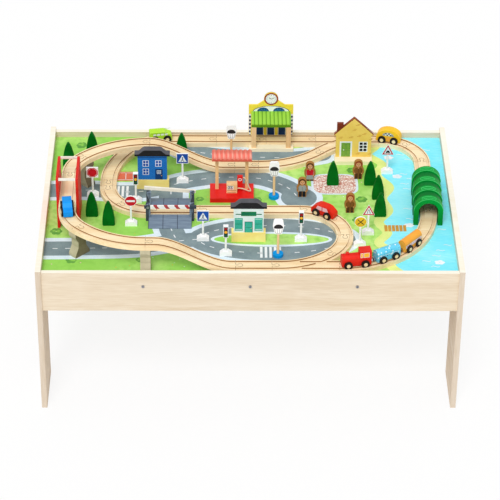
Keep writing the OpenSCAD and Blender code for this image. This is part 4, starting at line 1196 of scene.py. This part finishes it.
def vehicle_prints():
    drawings = [
        ("loco", "red_paint", draw_loco), ("dotted_wagon", "sky_paint", draw_dotted_wagon),
        ("orange_wagon", "orange_paint", draw_orange_wagon), ("red_car", "red_paint", draw_red_car),
        ("taxi", "taxi_paint", draw_taxi), ("van", "lime_paint", draw_van),
        ("blue_car", "blue_paint", draw_blue_car)]
    for name, slot, draw in drawings:
        art = Print(name + "_print", name, slot)
        for way in sides(art, name):
            draw(art, way)
        art.done()


def screw_prints():
    """Driver slots in the screw heads and sockets in the bolt heads."""
    art = Print("screw_slots", "table", "steel")
    slot = 2.4
    for x in (-250, 0, 250):
        for side in fronts(art, x, -315.0, 315.0, 359.5):
            art.band(ink.black, [(-slot, 0), (slot, 0)], 0.9)
            art.band(ink.black, [(0, -slot), (0, slot)], 0.9)
    for way in both:
        for y in (-307, 307):
            for z in (316.0, 362.4):
                art.lay_on((way * 499.5, y, z), (0, way, 0), above)
                art.disc(ink.black, 0, 0, 3, 1, 6)
    art.done()


def rod(name, lines, radius, finish):
    """Round beads along lines of points in mm."""
    curve = bpy.data.curves.new(name, "CURVE")
    curve.dimensions = "3D"
    curve.bevel_depth = radius * mm
    curve.bevel_resolution = 3
    curve.use_fill_caps = True
    for line in lines:
        spline = curve.splines.new("POLY")
        spline.points.add(len(line) - 1)
        for point, spot in zip(spline.points, line):
            point.co = tuple(value * mm for value in spot) + (1.0,)
        spline.use_smooth = True
    curve.materials.append(finish)
    piece = put(name, curve)
    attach(piece, "table")
    return piece


def pump_hose():
    """The limp hose from the nozzle back to the pump."""
    pump_x = -41.9
    pump_y = 37.6
    hose_r = 1.5
    route = [
        (26.25, 4.4, 48), (29, 4.4, 48), (31.5, 4.2, 46.5), (34, 3.8, 43), (36.4, 3.4, 38),
        (38.9, 2.4, 31), (41.9, 1.4, 23), (44.9, -0.1, 17), (45.9, -2.6, 14.5), (42.9, -4.6, 15),
        (36.9, -5.6, 18), (30.9, -5.6, 21), (24.9, -5.6, 23), (18.9, -5.6, 24), (13.05, -5.6, 24)]
    line = [Vector((pump_x + x, pump_y + y, floor_z + z)) for x, y, z in smooth(route, 3)]
    hose = rod("pump_hose", [line], hose_r, hose_rubber)
    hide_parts("fuel_hose")
    length = sum((b - a).length for a, b in zip(line, line[1:])) * mm


def tunnel_beads():
    """Beads on the tunnel's ribs: a rim along each front edge and a loop on its crown, in a lighter
    green that paints the highlight on these raised edges.
    """
    lines = []
    raised = tunnel_r + 0.2
    loop_half = 3.4
    turn = Matrix.Rotation(tunnel_turn, 3, "Z")
    origin = Vector((tunnel_x, tunnel_y, floor_z + tunnel_h - tunnel_r))

    def spot(degrees, y, reach):
        angle = radians(degrees)
        return origin + turn @ Vector((reach * cos(angle), y, reach * sin(angle)))

    for i in range(tunnel_ribs):
        start = i * rib_step - tunnel_l / 2
        lines.append([spot(5 * k, start + 0.8, tunnel_r) for k in range(1, 36)])
        middle = start + rib_l / 2
        near = [spot(62 + 4 * k, middle - loop_half, raised) for k in range(15)]
        far = [spot(118 - 4 * k, middle + loop_half, raised) for k in range(15)]
        lines.append(near + far + near[:1])
    rod("tunnel_beads", lines, 0.9, rim_highlight_green)


def stand_camera():
    """The camera, where the photograph was taken."""
    place = Vector((-70.568, -4715.18, 3558.47)) * mm
    pitch = 0.6127
    yaw = 0.0157
    roll = -0.0104
    ahead = Vector((sin(yaw) * cos(pitch), cos(yaw) * cos(pitch), -sin(pitch)))
    across = Vector((cos(yaw), -sin(yaw), 0))
    down = ahead.cross(across)
    wide = across * cos(roll) + down * sin(roll)
    tall = across * sin(roll) - down * cos(roll)
    camera = bpy.data.cameras.new("camera")
    camera.sensor_width = 36
    camera.lens = 168.03
    stand = put("camera", camera)
    turn = Matrix((wide, tall, -ahead)).transposed().to_4x4()
    stand.matrix_world = Matrix.Translation(place) @ turn
    bpy.context.scene.camera = stand


def light_studio():
    """A white floor that keeps the shadow, a white room and one soft lamp."""
    white = (1.0, 1.0, 1.0, 1.0)
    size = 30
    corners = [(-size, -size, 0), (size, -size, 0), (size, size, 0), (-size, size, 0)]
    mesh = bpy.data.meshes.new("studio_floor")
    mesh.from_pydata(corners, [], [(0, 1, 2, 3)])
    f = Finish("studio_white")
    seen = f.node("ShaderNodeLightPath", {}, {}, "Is Camera Ray")
    f.close((0.9, 0.9, 0.9, 1.0), 0.9)
    glow = f.node("ShaderNodeEmission", {}, {"Color": white, "Strength": 1.0})
    skin = Wire(f, f.skin.outputs[0])
    mixed = f.node("ShaderNodeMixShader", {}, {0: 0.86 * seen, 1: skin, 2: glow})
    f.feed(f.tree.nodes["Material Output"].inputs["Surface"], mixed)
    mesh.materials.append(f.material)
    put("studio_floor", mesh)

    world = bpy.data.worlds.new("studio")
    bpy.context.scene.world = world
    room = Finish("studio", world)
    camera, glossy, through = [
        room.node("ShaderNodeLightPath", {}, {}, ray)
        for ray in ("Is Camera Ray", "Is Glossy Ray", "Is Transmission Ray")]
    dim = room.node("ShaderNodeBackground", {}, {"Color": white, "Strength": 0.62})
    full = room.node("ShaderNodeBackground", {}, {"Color": white, "Strength": 1.0})
    straight = camera.most(glossy).most(through)
    swap = room.node("ShaderNodeMixShader", {}, {0: straight, 1: dim, 2: full})
    room.feed(room.tree.nodes["World Output"].inputs["Surface"], swap)

    lamp = bpy.data.lights.new("soft_lamp", "SUN")
    lamp.energy = 1.9
    lamp.angle = radians(24)
    aim = Vector((0.13, 0.6, -0.79))
    put("soft_lamp", lamp).rotation_euler = aim.to_track_quat("-Z", "Y").to_euler()
    bpy.context.scene.view_settings.view_transform = "Standard"


stand_camera()
pump_hose()
tunnel_beads()
play_board()
joint_lines()
blue_house_print()
shop_print()
cottage_print()
station_print()
fuel_print()
figure_prints()
sign_prints()
vehicle_prints()
screw_prints()
light_studio()
